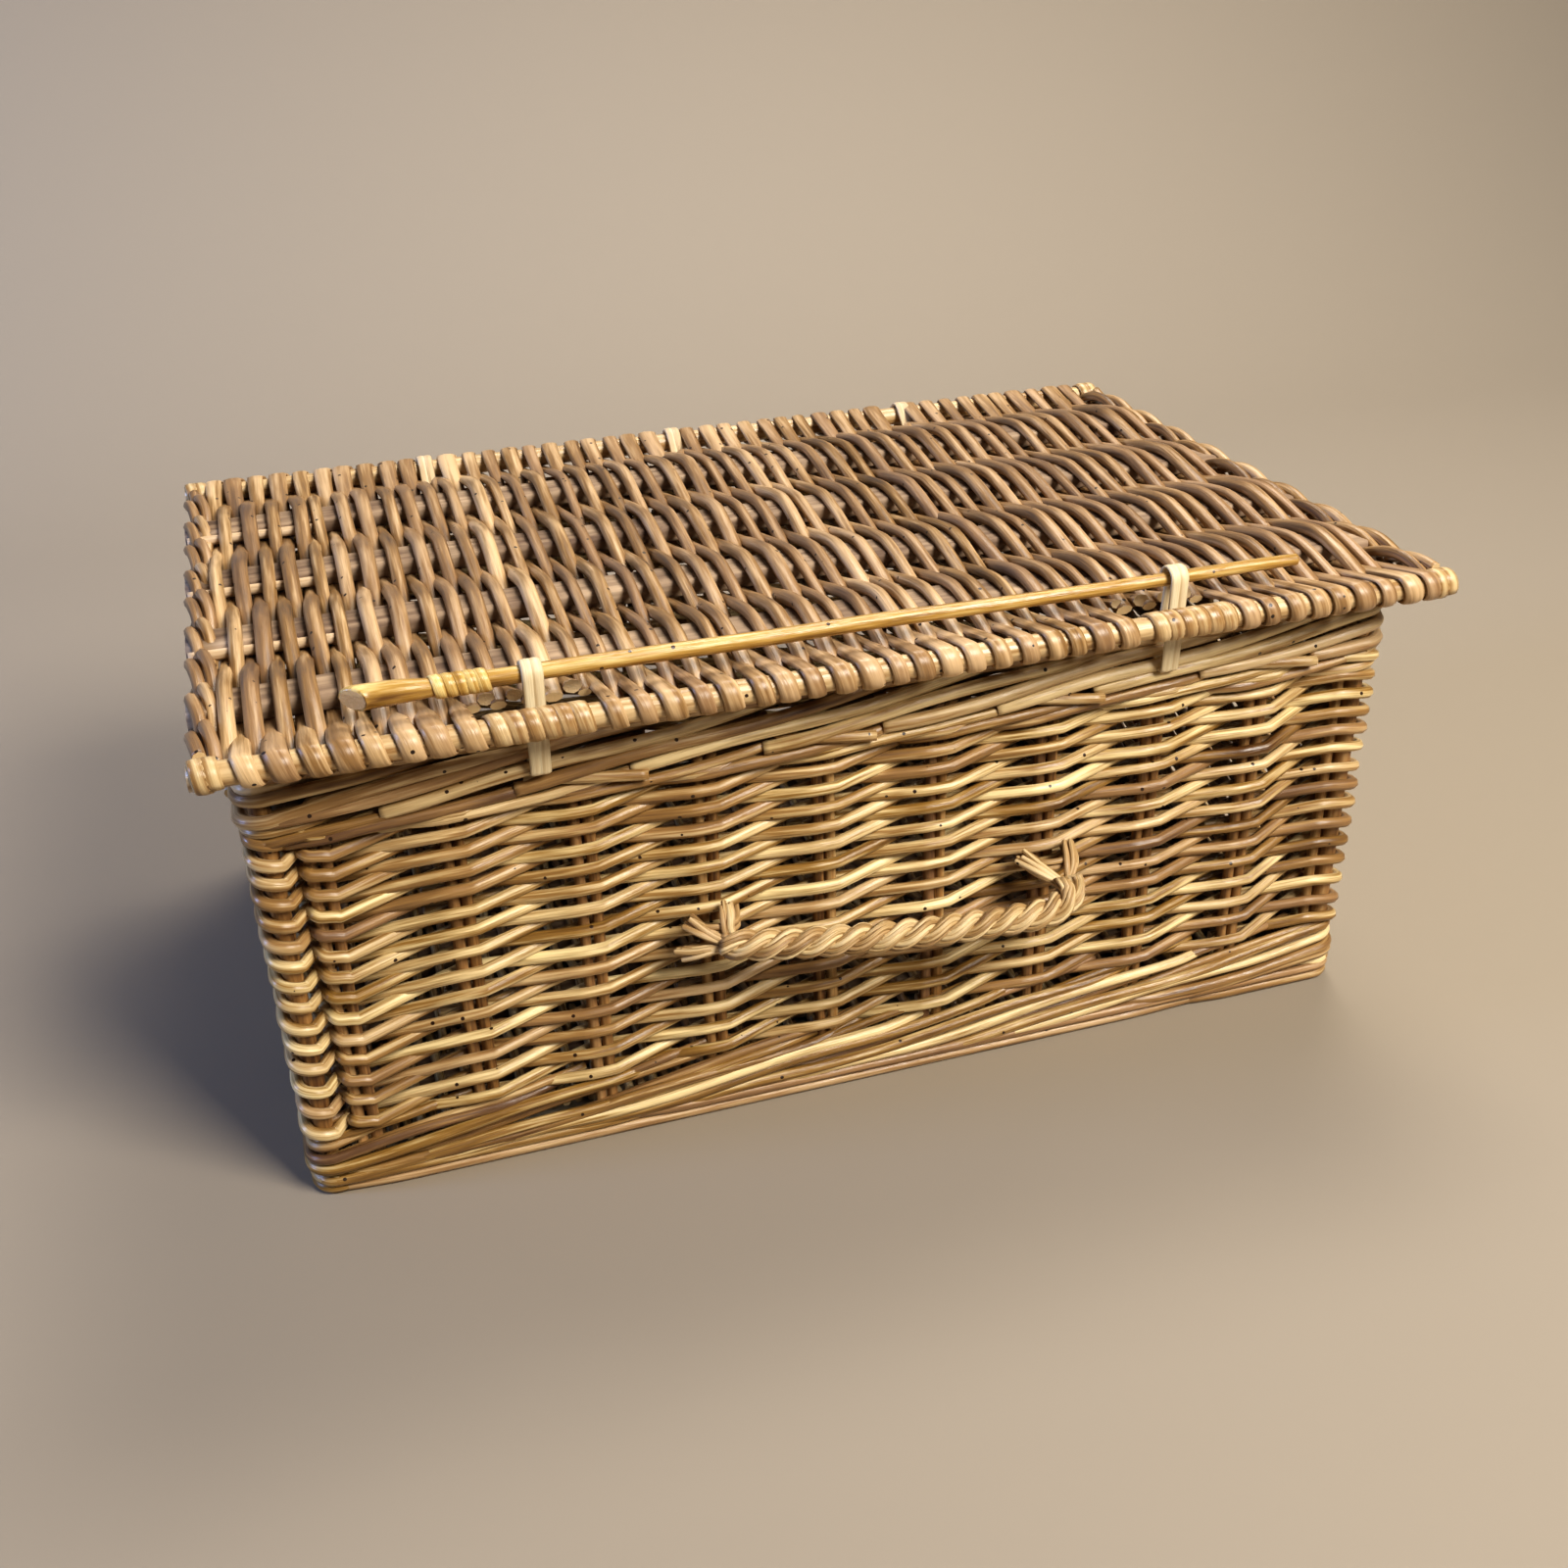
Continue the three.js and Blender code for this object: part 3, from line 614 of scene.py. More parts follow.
chance = random.Random(7)
foot_rods = []
for unit in units:
    s = s_of(unit)
    radius = chance.uniform(2.4, 2.9)
    lift = chance.uniform(0.85, 1.08)
    rising = [
        (0, 1.5, 8), (0.06, 6.2, 8.5), (0.3, 6.9, 13),
        (0.62, 6.6, 21), (0.9, 5.0, 29), (1, -2.5, 31),
    ]
    rising = [(share, out, 8 + (z - 8) * lift) for share, out, z in rising]
    rod = laid(s - 20 + chance.uniform(-20, 16), 245, rising, radius, chance, 1.3)
    foot_rods.append((rod, tone(chance, 0.55, 0.18)))
    radius = chance.uniform(2.0, 2.4)
    deeper = [
        (0, -1, 6), (0.1, 3.4, 8), (0.3, 3.6, 13),
        (0.62, 3.5, 24), (0.88, 3.4, 33.5), (1, -2.5, 35.5),
    ]
    rod = laid(s - 30 + chance.uniform(-9, 9), 215, deeper, radius, chance, 0.8)
    foot_rods.append((rod, tone(chance, 0.35)))
for ring, (out, z) in enumerate(FOOT_RINGS):
    for s, length in ring_lengths(ring * 130, 260, 420, chance):
        profile = [(0, out - 2.5, z + 0.6), (0.08, out, z), (0.92, out, z), (1, out - 1.5, z + 0.4)]
        rod = laid(s - 10, length + 16, profile, RING_RADIUS, chance, 0.0)
        foot_rods.append((rod, tone(chance, 0.55)))
bundle("foot_wale_rods", foot_rods, "basket", buff_willow, ["foot_wale"])

wale_rods = []
for unit in units:
    s = s_of(unit)
    radius = chance.uniform(2.4, 2.8)
    outer = [(0, -1, 174), (0.14, 5.8, 175.5), (0.5, 6.0, 179.5), (0.85, 5.0, 184), (1, -2, 185)]
    rod = laid(s - 24 + chance.uniform(-8, 8), 118, outer, radius, chance, 0.8)
    wale_rods.append((rod, tone(chance, 0.52, 0.16)))
    radius = chance.uniform(2.0, 2.4)
    deeper = [(0, -3, 173), (0.15, -5.4, 175), (0.5, -5.4, 180), (0.85, -5.0, 185), (1, -2, 186)]
    rod = laid(s - 40 + chance.uniform(-8, 8), 172, deeper, radius, chance, 0.7)
    wale_rods.append((rod, tone(chance, 0.35)))
bundle("top_wale_rods", wale_rods, "basket", buff_willow, ["top_wale"])

border_rods = []
for u, unit in enumerate(units):
    s = s_of(unit)
    radius = chance.uniform(2.8, 3.3)
    rising = [
        (0, 5.0, 184.5), (0.08, 7.2, 186.5), (0.5, 6.8, 195), (0.86, 5.0, 202.5), (1, 0.5, 203.5),
    ]
    rod = laid(s - 30 + chance.uniform(-5, 5), 166, rising, radius, chance, 1.2)
    border_rods.append((rod, tone(chance, 0.7, 0.14, pink=0.5)))
    rolled = [
        (0, -1.5, 203.5), (0.09, 3.6, 204.8), (0.5, 3.8, 206.4), (0.85, 1.6, 207.6), (1, -2.5, 206.8),
    ]
    rod = laid(s - 6, 150, rolled, radius * 0.95, chance)
    border_rods.append((rod, tone(chance, 0.5, pink=0.8)))
    inner = [(0, -4.5, 192), (0.1, -6.4, 196), (0.5, -6.0, 203.5), (0.9, -4.0, 207.5), (1, -2, 207.5)]
    rod = laid(s - 12, 170, inner, radius * 0.9, chance)
    border_rods.append((rod, tone(chance, 0.45, pink=0.5)))
    if u % 2 == 0 and not unit["corner"] and not unit["first"]:
        butt = [(0, 3.5, 187), (0.5, 7.4, 185.5), (1, 10.2, 183.8)]
        rod = laid(s - 22, 42 + chance.uniform(-6, 9), butt, CROWN_RADIUS, chance)
        border_rods.append((rod, tone(chance, 0.65, pink=0.7)))
for ring, out in enumerate(CROWN_RINGS):
    crown = [(0, out, RIM_TOP - 4), (0.5, out, RIM_TOP - 3), (1, out, RIM_TOP - 4)]
    for s, length in ring_lengths(ring * 90, 180, 320, chance):
        rod = laid(s - 5, length + 8, crown, CROWN_RADIUS, chance, 0.2)
        border_rods.append((rod, tone(chance, 0.45, pink=0.7)))
bundle("border_rods", border_rods, "basket", buff_willow, ["border"])

# Base and lid slats: flat strips of split wood, weathered grey-brown, with their long edges worn
# round. The weave holds them: it goes over and under each in turn.
SLAT_EDGE = 0.0022
SLAT_CUTS = 24
SLAT_WAVE = 0.0006
SLAT_WARP = 0.0003
slat_wood = bpy.data.materials.new("slat_wood")
slat_wood.use_nodes = True
slat_nodes, slat_links = slat_wood.node_tree.nodes, slat_wood.node_tree.links
slat_surface = slat_nodes["Principled BSDF"]
slat_place = slat_nodes.new("ShaderNodeTexCoord")
slat_stretch = slat_nodes.new("ShaderNodeMapping")
slat_stretch.inputs["Scale"].default_value = (14, 260, 260)
slat_grain = slat_nodes.new("ShaderNodeTexNoise")
slat_grain.inputs["Scale"].default_value = 1.0
slat_grain.inputs["Detail"].default_value = 6
slat_stain = slat_nodes.new("ShaderNodeTexNoise")
slat_stain.inputs["Scale"].default_value = 34
slat_mix = slat_nodes.new("ShaderNodeMath")
slat_mix.operation = "MULTIPLY"
slat_ramp = slat_nodes.new("ShaderNodeValToRGB")
slat_ramp.color_ramp.elements[0].position = 0.12
slat_ramp.color_ramp.elements[0].color = (0.12, 0.068, 0.040, 1)
slat_ramp.color_ramp.elements[1].position = 0.42
slat_ramp.color_ramp.elements[1].color = (0.50, 0.36, 0.235, 1)
slat_bump = slat_nodes.new("ShaderNodeBump")
slat_bump.inputs["Strength"].default_value = 0.6
slat_bump.inputs["Distance"].default_value = 0.0008
slat_links.new(slat_place.outputs["Object"], slat_stretch.inputs["Vector"])
slat_links.new(slat_stretch.outputs[0], slat_grain.inputs["Vector"])
slat_links.new(slat_place.outputs["Object"], slat_stain.inputs["Vector"])
slat_links.new(slat_grain.outputs["Fac"], slat_mix.inputs[0])
slat_links.new(slat_stain.outputs["Fac"], slat_mix.inputs[1])
slat_links.new(slat_mix.outputs[0], slat_ramp.inputs[0])
slat_links.new(slat_ramp.outputs["Color"], slat_surface.inputs["Base Color"])
slat_links.new(slat_grain.outputs["Fac"], slat_bump.inputs["Height"])
slat_links.new(slat_bump.outputs["Normal"], slat_surface.inputs["Normal"])
slat_surface.inputs["Roughness"].default_value = 0.72


def long_edges_of(shape):
    """The edges that run the length of a slat."""
    return [e for e in shape.edges if abs(e.verts[0].co.x - e.verts[1].co.x) > 0.1]


def slat(node, body):
    """A split slat in the place of a CAD slat, a little uneven along its length."""
    low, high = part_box(node)
    shape = bmesh.new()
    bmesh.ops.create_cube(shape, size=1)
    bmesh.ops.scale(shape, vec=high - low, verts=shape.verts)
    bmesh.ops.translate(shape, vec=(high + low) / 2, verts=shape.verts)
    bmesh.ops.bevel(
        shape,
        geom=long_edges_of(shape),
        offset=SLAT_EDGE,
        affect="EDGES",
        segments=3,
        profile=0.5,
        material=-1,
        clamp_overlap=True,
    )
    bmesh.ops.subdivide_edges(
        shape, edges=long_edges_of(shape), cuts=SLAT_CUTS, use_grid_fill=True
    )
    for v in shape.verts:
        v.co.y += SLAT_WAVE * math.sin(v.co.x * 23 + low.y * 50)
        v.co.z += SLAT_WARP * math.sin(v.co.x * 31 + low.y * 90)
    for face in shape.faces:
        face.smooth = abs(face.normal.x) < 0.9
    mesh = bpy.data.meshes.new(node + "_wood")
    shape.to_mesh(mesh)
    shape.free()
    mesh.materials.append(slat_wood)
    piece = bpy.data.objects.new(node + "_wood", mesh)
    bpy.context.scene.collection.objects.link(piece)
    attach(piece, body)
    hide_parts(node)


base_slats = [f"base_slat_{i + 1}" for i in range(5)]
lid_slats = [f"lid_slat_{i + 1}" for i in range(4)]
for node_name in base_slats:
    slat(node_name, "basket")
for node_name in lid_slats:
    slat(node_name, "lid")

# Base: thin buff rods woven over and under the slats, side by side, from the front wall to the back
# wall. Their ends are pushed in under the walls.
BASE_Z = 9.4
BASE_COLUMNS = 80
BASE_CLEARANCE = 4.2
SLAT_REACH = 9
base_low, base_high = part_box("base_weave")
slat_ys = [sum(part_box(name)[k].y for k in (0, 1)) / 2 / MM for name in base_slats]
base_rods = []
chance = random.Random(3)
for i in range(BASE_COLUMNS):
    x = (base_low.x / MM + 4) + i * (base_high.x - base_low.x - 0.008) / MM / (BASE_COLUMNS - 1)
    radius = chance.uniform(2.0, 2.4)
    rows = [[x, base_low.y / MM + 3, BASE_Z, radius, 0]]
    for k, y in enumerate(slat_ys):
        z = BASE_Z + (BASE_CLEARANCE + radius) * (1 if (i + k) % 2 else -1)
        z = max(radius + 0.2, z)
        rows += [[x, y - SLAT_REACH, z, radius, 0], [x, y + SLAT_REACH, z, radius, 0]]
    rows.append([x, base_high.y / MM - 3, BASE_Z, radius, 0])
    base_rods.append((eased(rows), tone(chance, 0.5)))
bundle("base_rods", base_rods, "basket", buff_willow, ["base_weave"], sides=6)

# Lid rods: one thick round willow rod at the front and one at the back. They are the lid's frame,
# and the weave is wrapped round them.
LID_Z = (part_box("lid_rod_front")[0].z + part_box("lid_rod_front")[1].z) / 2 / MM
LID_ROD_RADIUS = 5.2
lid_rod_y = {}
lid_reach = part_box("lid_rod_front")[1].x / MM
for end_name in ("front", "back"):
    low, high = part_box("lid_rod_" + end_name)
    lid_rod_y[end_name] = (low.y + high.y) / 2 / MM
    rows = []
    for x in np.linspace(-lid_reach, lid_reach, 28):
        y = lid_rod_y[end_name] + chance.gauss(0, 0.18)
        rows.append([x, y, LID_Z, LID_ROD_RADIUS * chance.uniform(0.95, 1.02), 0])
    rods = [(eased(rows, 1), (0.72, 0.85, 0.4))]
    node_name = "lid_rod_" + end_name
    bundle("lid_bar_" + end_name, rods, "lid", buff_willow, [node_name], sides=12)

# Lid weave: each rod is wrapped round the front rod, woven over and under the slats to the back rod,
# round that and back again. It is flattened where it bends, and the front rod is left bare at the
# hasp loops.
lid_willow = willow(
    "lid_willow",
    dark=(0.065, 0.034, 0.018),
    middle=(0.265, 0.144, 0.046),
    light=(0.70, 0.485, 0.26),
    blush=(0.34, 0.205, 0.12),
    roughness=0.36,
    flecks=1.6,
)
COLUMN_PITCH = 5.75
COLUMN_PLAY = 1.1
THICKNESSES = (0.82, 0.9, 0.95, 1.0, 1.05, 1.15)
WEAVER_RADIUS = 3.0
# Painted sheen: the wraps round the lid's rods are made lighter than the rest of each rod, for the
# shine on their flat bands.
WRAP_REACH = LID_ROD_RADIUS + 1.15
WRAP_PAINTED_SHEEN = 0.15
SLOT_BACK = -157
HASP_X = 140
SLOT_HALF = 24
slat_ys = sorted(sum(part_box(name)[k].y for k in (0, 1)) / 2 / MM for name in lid_slats)


def wrapped(y0, x0, x1, from_angle, to_angle, radius):
    """A rod bent round one of the lid's rods. Its angles are degrees up from straight back."""
    rows = []
    for share in np.linspace(0, 1, 9):
        angle = math.radians(from_angle + (to_angle - from_angle) * share)
        y = y0 + WRAP_REACH * math.cos(angle)
        z = LID_Z + WRAP_REACH * math.sin(angle)
        rows.append([x0 + (x1 - x0) * share, y, z, radius, 1, WRAP_PAINTED_SHEEN])
    return rows


def column(x, over_first, radius, forwards, source):
    """One pass over and under the slats. `forwards` runs from the front to the back."""
    rows = []
    for k, y in enumerate(slat_ys):
        up = 1 if (k % 2 == 0) == over_first else -1
        z = LID_Z + up * (3.8 + radius)
        lean = source.gauss(0, 0.7)
        # Painted light and shade: each stroke is made lighter at its front end and darker at its back
        # end, where it dips down between the slats.
        rows.append([x + lean, y - SLAT_REACH, z, radius * 1.02, 0.12, 0.14])
        rows.append([x + lean, y + SLAT_REACH, z, radius * 1.08, 0.12, -0.16])
    return rows if forwards else rows[::-1]


chance = random.Random(41)
lid_rods = []
column_count = round((lid_reach - 13) / COLUMN_PITCH) * 2
first_x = COLUMN_PITCH * (column_count - 1) / 2
front_y, back_y = lid_rod_y["front"], lid_rod_y["back"]
hinge_xs = [sum(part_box(f"hinge_ring_{i}")[k].x for k in (0, 1)) / 2 / MM for i in (1, 2, 3)]
for i in range(0, column_count, 2):
    x0 = first_x - i * COLUMN_PITCH + chance.uniform(-COLUMN_PLAY, COLUMN_PLAY)
    x1 = first_x - (i + 1) * COLUMN_PITCH + chance.uniform(-COLUMN_PLAY, COLUMN_PLAY)
    radius = WEAVER_RADIUS * chance.choice(THICKNESSES)
    rows = []
    if abs(abs(x0) - HASP_X) > SLOT_HALF:
        rows += wrapped(front_y, x0 + COLUMN_PITCH * 0.8, x0, 300, 95, radius)
    else:
        rows.append([x0 + 1, SLOT_BACK + 2, LID_Z + 1, radius, 0.3])
    rows += column(x0, False, radius, True, chance)
    if min(abs(x0 - COLUMN_PITCH / 2 - x) for x in hinge_xs) > 6:
        rows += wrapped(back_y, x0, x1, -95, 95, radius)
    else:
        rows.append([x0, back_y - 25, LID_Z, radius, 0.3])
        rows.append([x1, back_y - 25, LID_Z + 1, radius, 0.3])
    rows += column(x1, True, radius, False, chance)
    if abs(abs(x1) - HASP_X) > SLOT_HALF:
        rows.append([x1, front_y + 6, LID_Z - WRAP_REACH + 0.4, radius, 0.5])
    else:
        rows.append([x1, SLOT_BACK + 1, LID_Z - 2, radius, 0.3])
    lid_rods.append((eased(rows), tone(chance, 0.5, 0.1, pink=0.45)))
half = len(lid_rods) // 2
for part_name, rods in (("lid_weavers_a", lid_rods[:half]), ("lid_weavers_b", lid_rods[half:])):
    bundle(part_name, rods, "lid", lid_willow, ["lid_weave"], widen=0.5, thin=0.64)

# Lid ends: two layers of paired willow rods, twisted round each other and round the ends of the
# slats. They close the weave at each end of the lid.
PAIRING_REACH = 5.2
PAIRING_RADIUS = 2.7
PAIRING_STEPS = 40
for end_name, sign in (("left", -1), ("right", 1)):
    rods = []
    low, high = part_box("lid_end_pairing_" + end_name)
    for layer, x in enumerate((sign * 261.5, sign * 266.5)):
        for strand in (0, 1):
            rows = []
            for step in range(PAIRING_STEPS + 1):
                share = step / PAIRING_STEPS
                y = (low.y + (high.y - low.y) * share) / MM
                turn = share * 9 * math.pi + strand * math.pi + layer * 0.8
                z = LID_Z + PAIRING_REACH * math.sin(turn)
                rows.append([x + 2.0 * math.cos(turn), y, z, PAIRING_RADIUS, 0])
            rods.append((eased(rows, 1), tone(chance, 0.5, pink=0.4)))
    replaced = ["lid_end_pairing_" + end_name]
    bundle("lid_pairing_" + end_name, rods, "lid", lid_willow, replaced)

# Packing rods: three short peeled rods laid beside the slats at the left end to fill the gaps, with
# their cut ends showing. The weave grips them.
PACKING_RADIUS = 2.5
pale_willow = willow(
    "pale_willow",
    dark=(0.30, 0.19, 0.08),
    middle=(0.60, 0.45, 0.25),
    light=(0.82, 0.71, 0.47),
    blush=(0.62, 0.42, 0.29),
    roughness=0.5,
    flecks=0.25,
)
for i in range(3):
    node_name = f"packing_rod_{i + 1}"
    low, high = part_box(node_name)
    y = (low.y + high.y) / 2 / MM
    xs = np.linspace(low.x / MM, high.x / MM, 6)
    rows = [[x, y, LID_Z + 1.2, PACKING_RADIUS, 0] for x in xs]
    rods = [(eased(rows, 1), (0.5, 0.9, i * 0.3))]
    bundle(node_name + "_peeled", rods, "lid", pale_willow, [node_name])

# Whippings: flat split skein wound tightly round the front rod, turn beside turn, where a hasp loop
# comes up over it. They keep the loop from wearing the rod.
TURN_STEPS = 14


def wound(x0, x1, y0, z0, reach, radius, turns):
    """A skein wound round a rod that lies along X, flat against it, each turn beside the last."""
    steps = int(turns * TURN_STEPS)
    rows = []
    for step in range(steps + 1):
        share = step / steps
        angle = share * turns * 2 * math.pi
        place = [x0 + (x1 - x0) * share, y0 + reach * math.cos(angle), z0 + reach * math.sin(angle)]
        rows.append([*place, radius, 1, 0])
    return np.array(rows)


for end_name in ("left", "right"):
    node_name = "whipping_" + end_name
    low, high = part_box(node_name)
    x0, x1 = low.x / MM + 4, high.x / MM - 4
    skein = wound(x0, x1, front_y, LID_Z, LID_ROD_RADIUS + 0.75, 3.0, 6)
    rods = [(skein, (0.62, 0.75, 0.3))]
    skein_name = node_name + "_skein"
    bundle(skein_name, rods, "lid", buff_willow, [node_name], widen=0.36, thin=0.68)

# Corner ties: pale split skein wound round the ends of the lid's two rods, so that the twisted rods
# at the lid's ends can't slip off.
for end_name in ("front", "back"):
    for side_name in ("left", "right"):
        node_name = f"corner_tie_{end_name}_{side_name}"
        low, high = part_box(node_name)
        x0, x1 = low.x / MM + 3, high.x / MM - 3
        skein = wound(x0, x1, lid_rod_y[end_name], LID_Z, LID_ROD_RADIUS + 0.9, 2.7, 1.6)
        rods = [(skein, (0.6, 0.6, 0.1))]
        tie_name = node_name + "_skein"
        bundle(tie_name, rods, "lid", buff_willow, [node_name], widen=0.36, thin=0.62)

# Hinge rings: pale split willow taken twice round the lid's back rod and through the border below
# it. The rod turns in them, and that is the lid's hinge.
SKEIN_RADIUS = 1.9


def band(circles, x, width_radius, rounds, pitch):
    """A skein bent round circles in the YZ plane: (y, z, radius, from angle, to angle) each."""
    rows = []
    for lap in range(rounds):
        for y, z, radius, start, end in circles:
            for share in np.linspace(0, 1, 7):
                angle = math.radians(start + (end - start) * share)
                shift = (lap - (rounds - 1) / 2) * pitch
                place = [x + shift, y + radius * math.cos(angle), z + radius * math.sin(angle)]
                rows.append([*place, width_radius, 1])
    return np.array(rows)


for i, x in enumerate(hinge_xs):
    node_name = f"hinge_ring_{i + 1}"
    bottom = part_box(node_name)[0].z / MM + 2
    circles = [
        (back_y, LID_Z, LID_ROD_RADIUS + 2.0, -10, 150),
        (147.5, 211, 3.5, 150, 180),
        (147.5, bottom + 2.5, 3, 180, 270),
        (163.5, bottom + 2.5, 3, 270, 360),
    ]
    rods = [(eased(band(circles, x, SKEIN_RADIUS, 2, 3.2), 1), (0.6, 0.5, 0.2))]
    bundle(node_name + "_skein", rods, "basket", pale_willow, [node_name])

# Hasp loops: pale cane that comes up out of the border, over the closing rod and down again, twice
# round. The rod goes through both loops and holds the lid shut.
closing_low, closing_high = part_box("closing_rod")
CLOSING_Y = (closing_low.y + closing_high.y) / 2 / MM
CLOSING_Z = (closing_low.z + closing_high.z) / 2 / MM
for end_name, x in (("left", -HASP_X), ("right", HASP_X)):
    node_name = "hasp_loop_" + end_name
    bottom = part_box(node_name)[0].z / MM + 1.5
    circles = [
        (CLOSING_Y, CLOSING_Z, 5.4, -20, 200),
        (-166.6, bottom + 1.5, 1.8, 180, 270),
        (-162.2, bottom + 1.5, 1.8, 270, 360),
    ]
    rods = [(eased(band(circles, x, SKEIN_RADIUS, 2, 3.0), 1), (0.7, 0.1, 0.6))]
    loop_name = node_name + "_cane"
    bundle(loop_name, rods, "basket", pale_willow, [node_name], widen=0.5, thin=0.62)

# Closing rod: one long willow rod with its polished bark on, that slides out through the loops. It is
# thick at the end with the slanting cut, where a skein is wound round it for a grip.
SLANT = 0.75
SLANT_LENGTH = 15
bark_willow = willow(
    "bark_willow",
    dark=(0.11, 0.042, 0.010),
    middle=(0.46, 0.265, 0.06),
    light=(0.85, 0.66, 0.28),
    blush=(0.36, 0.19, 0.06),
    roughness=0.26,
    flecks=1.0,
)
closing_rows = []
left_end, right_end = closing_low.x / MM, closing_high.x / MM
for x, radius in (
    (left_end, 4.6), (left_end + 0.8, 5.3), (left_end + 6, 5.1),
    (left_end + 20, 4.9), (left_end + 28, 4.3), (left_end + 34, 3.7),
    (-150, 3.6), (-120, 3.4), (-80, 3.5), (-40, 3.3), (0, 3.3),
    (40, 3.2), (80, 3.1), (120, 3.0), (160, 2.9),
    (right_end - 10, 2.8), (right_end, 2.5),
):
    y = CLOSING_Y + chance.gauss(0, 0.25)
    closing_rows.append([x, y, CLOSING_Z + chance.gauss(0, 0.2), radius, 0])
rods = [(eased(closing_rows), (0.5, 0.1, 0.5))]
replaced = ["closing_rod"]
closing_bark = bundle(
    "closing_rod_bark", rods, "closing_rod", bark_willow, replaced, sides=12
)
for v in closing_bark.data.vertices:
    past = v.co.x / MM - left_end
    if past < SLANT_LENGTH:
        from_back = CLOSING_Y + 5.4 - v.co.y / MM
        v.co.x += SLANT * from_back * (1 - past / SLANT_LENGTH) * MM
low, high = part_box("grip_binding")
x0, x1 = low.x / MM + 2.5, high.x / MM - 2.5
rods = [(wound(x0, x1, CLOSING_Y, CLOSING_Z, 4.25, 2.4, 5), (0.62, 0.1, 0.5))]
replaced = ["grip_binding"]
bundle(
    "grip_binding_skein", rods, "closing_rod", bark_willow, replaced,
    widen=0.12, thin=0.66,
)

# Handle: strands of thin willow twisted into a rope. Its ends are looped round two skein staples in
# the front wall, so that it hangs and swings, and the loose ends are threaded into the weave.
ROPE_RADIUS = 7
ROPE_SPACING = 2.2
rope_willow = willow(
    "rope_willow",
    dark=(0.11, 0.05, 0.016),
    middle=(0.43, 0.27, 0.11),
    light=(0.82, 0.65, 0.37),
    blush=(0.46, 0.28, 0.15),
    roughness=0.44,
    flecks=0.3,
)
staple_low, staple_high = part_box("handle_staple_left")
AXIS_Y = staple_low.y / MM + 2.4
AXIS_Z = (staple_low.z + staple_high.z) / 2 / MM
left_x = (staple_low.x + staple_high.x) / 2 / MM
right_x = sum(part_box("handle_staple_right")[k].x for k in (0, 1)) / 2 / MM
rope_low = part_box("handle_rope")[0]
bar_y = rope_low.y / MM + ROPE_RADIUS
bar_z = rope_low.z / MM + ROPE_RADIUS
route = eased([
    [left_x - 1, AXIS_Y - 2, AXIS_Z - 5, 1, 0],
    [left_x + 8, AXIS_Y - 6, AXIS_Z - 6, 1, 0],
    [left_x + 34, bar_y + 7, bar_z + 6, 1, 0],
    [(left_x + right_x) / 2, bar_y + 2, bar_z + 3, 1, 0],
    [right_x - 24, bar_y, bar_z + 1, 1, 0],
    [right_x - 8, bar_y + 1, bar_z + 1, 1, 0],
    [right_x + 1, bar_y + 4, bar_z + 5, 1, 0],
    [right_x + 1, bar_y + 9, bar_z + 12, 1, 0],
], 4)[:, :3]


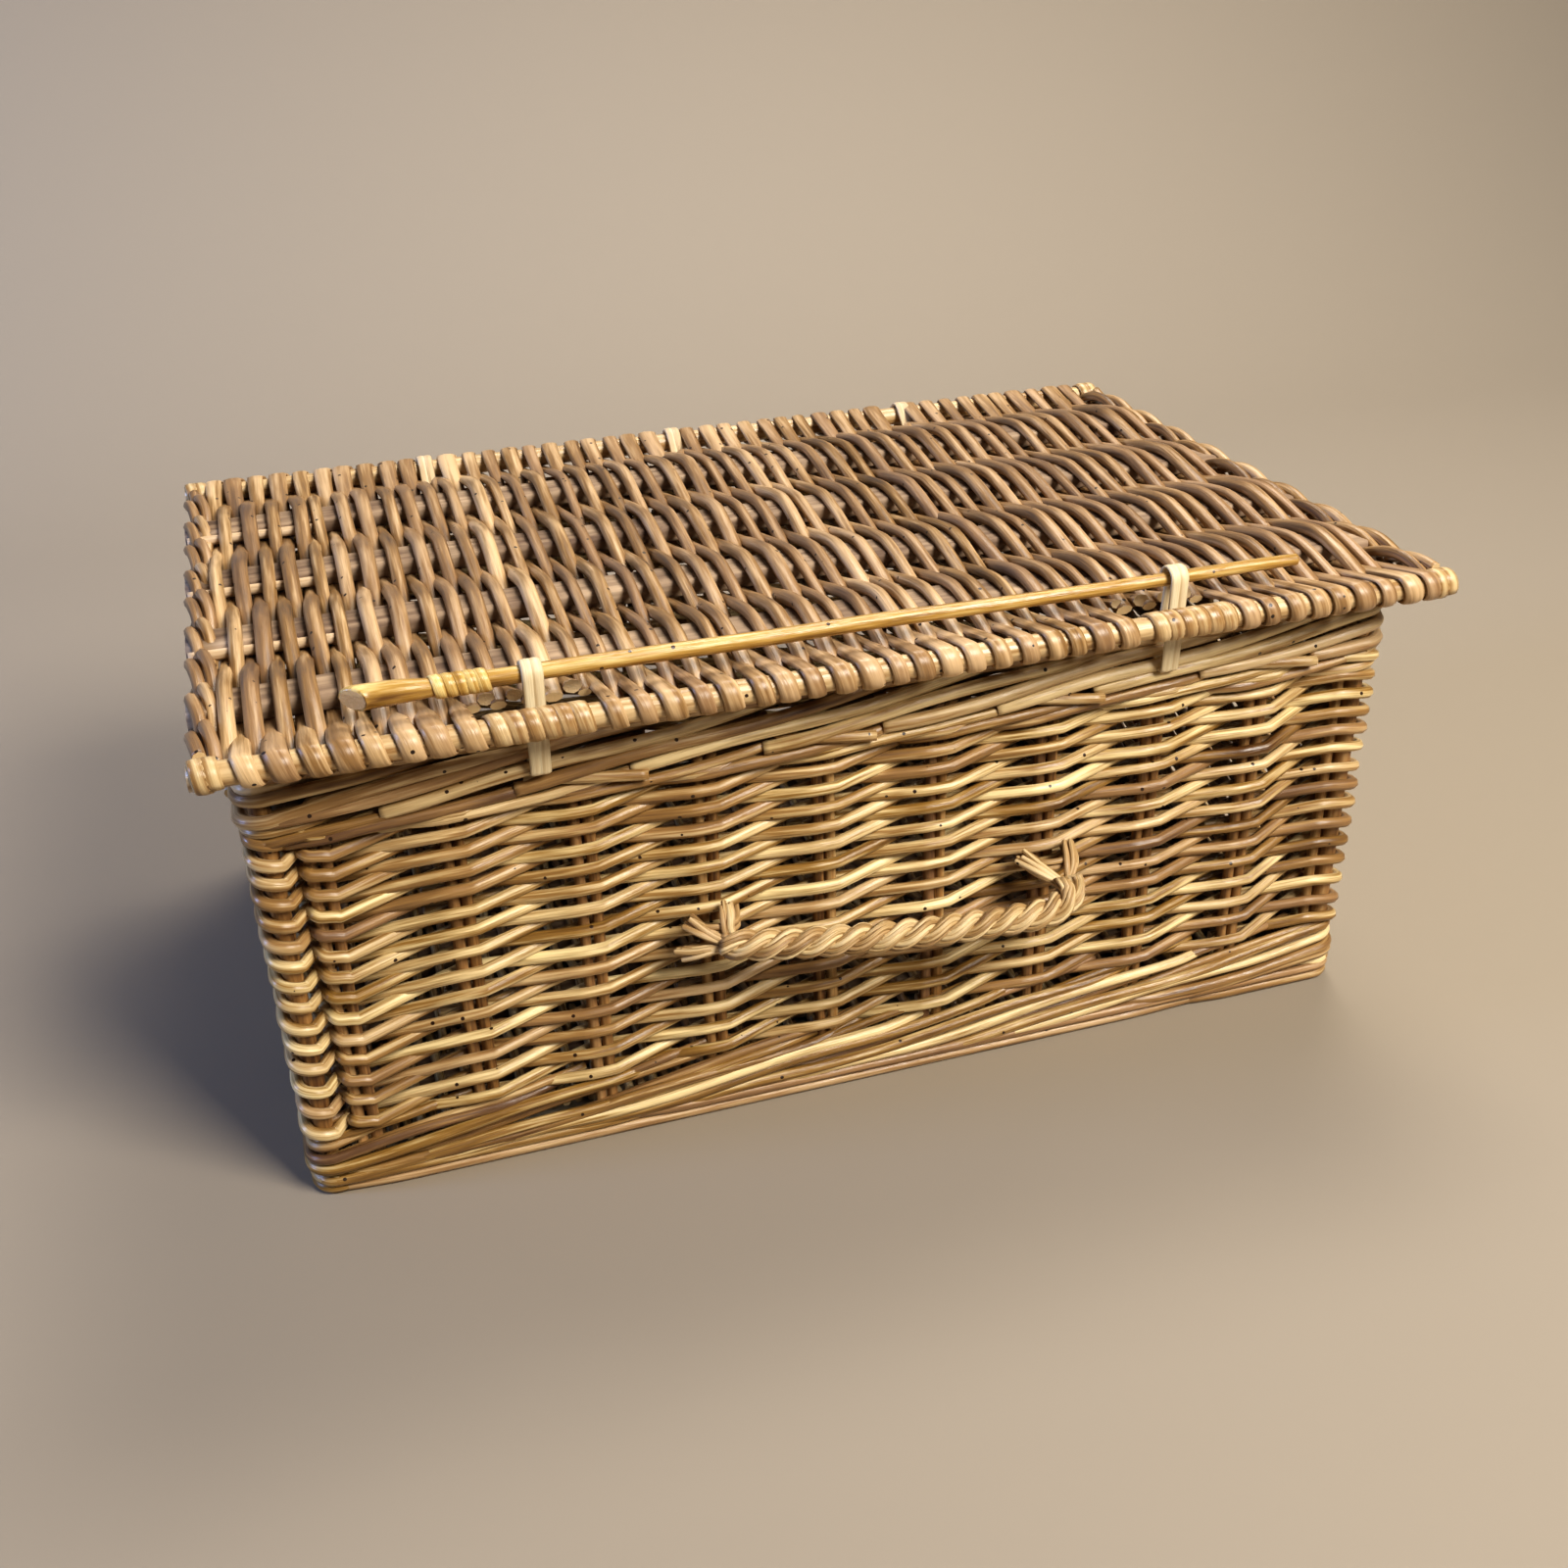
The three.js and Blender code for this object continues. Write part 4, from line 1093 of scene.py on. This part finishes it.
def twisted(route, strands, fibres, lay, strand_reach, fibre_reach, radius, source):
    """A rope on a route: strands wind round it and fibres wind round each strand."""
    steps = np.linalg.norm(np.diff(route, axis=0), axis=1)
    along = np.concatenate([[0], np.cumsum(steps)])
    samples = np.linspace(0, along[-1], int(along[-1] / ROPE_SPACING))
    centre = np.column_stack([np.interp(samples, along, route[:, k]) for k in range(3)])
    heading = np.gradient(centre, axis=0)
    heading /= np.linalg.norm(heading, axis=1)[:, None]
    side = np.cross(heading, (0, 0, 1))
    side /= np.linalg.norm(side, axis=1)[:, None]
    up = np.cross(side, heading)
    ropes = []
    for s in range(strands):
        for f in range(fibres):
            outer = samples / lay * 2 * np.pi + s * 2 * np.pi / strands
            inner = -samples / (lay * 0.9) * 2 * np.pi + f * 2 * np.pi / fibres
            a = strand_reach * np.cos(outer) + fibre_reach * np.cos(outer + inner)
            b = strand_reach * np.sin(outer) + fibre_reach * np.sin(outer + inner)
            places = centre + side * a[:, None] + up * b[:, None]
            radii, plain = np.full(len(samples), radius), np.zeros((len(samples), 2))
            ropes.append((np.column_stack([places, radii, plain]), tone(source, 0.6, 0.15)))
    return ropes


rods = twisted(route, 3, 8, 31, 3.5, 2.5, 1.25, chance)
bundle("handle_twist", rods, "handle", rope_willow, ["handle_rope"], sides=6)
rods = []
left_legs = ((-15, -168, 4), (-20, -171, -8), (-17, -172, -11), (3, -166, 9))
right_legs = ((-16, -165, 110), (-14, -166, 107), (8, -165, 113), (9, -166, 110))
for x, y, z, legs in (
    (left_x + 1, AXIS_Y - 3, AXIS_Z - 5, left_legs),
    (right_x + 1, bar_y + 8, bar_z + 8, right_legs),
):
    for dx, end_y, dz in legs:
        end_z = AXIS_Z + dz if x < 0 else dz
        for fibre in range(4):
            spread = (fibre - 1.5) * 1.7
            sink = (fibre % 2) * 2.0
            middle_y, middle_z = (y + end_y) / 2 - 1.5, (z + end_z) / 2
            start_x = x + chance.uniform(-4, 4) + 6 * (x < 0)
            bend_y, bend_z = y * 0.7 + end_y * 0.3 - 2 + sink, z * 0.7 + end_z * 0.3
            rows = [
                [start_x, y + chance.uniform(-2, 2), z - 4 + fibre, 1.2, 0],
                [x + dx * 0.3 + spread * 0.6, bend_y, bend_z, 1.4, 0],
                [x + dx * 0.65 + spread, middle_y + sink, middle_z + (end_z - z) * 0.2, 1.5, 0],
                [x + dx + spread * 0.9, end_y + sink, end_z + chance.uniform(-2, 2), 1.2, 0],
            ]
            rods.append((eased(rows), tone(chance, 0.62)))
bundle("handle_ends", rods, "handle", rope_willow, [], sides=6)
for side_name, x in (("left", left_x), ("right", right_x)):
    rods = []
    for strand in (-1, 1):
        offset = strand * 1.5
        line = ((-12, -150), (-9, -164), (-7, AXIS_Y + 1), (7, AXIS_Y + 1), (9, -164), (12, -150))
        rows = [[x + dx, y, AXIS_Z + offset, 1.5, 0] for dx, y in line]
        rods.append((eased(rows), tone(chance, 0.5)))
    node_name = "handle_staple_" + side_name
    bundle(node_name + "_skein", rods, "basket", rope_willow, [node_name])
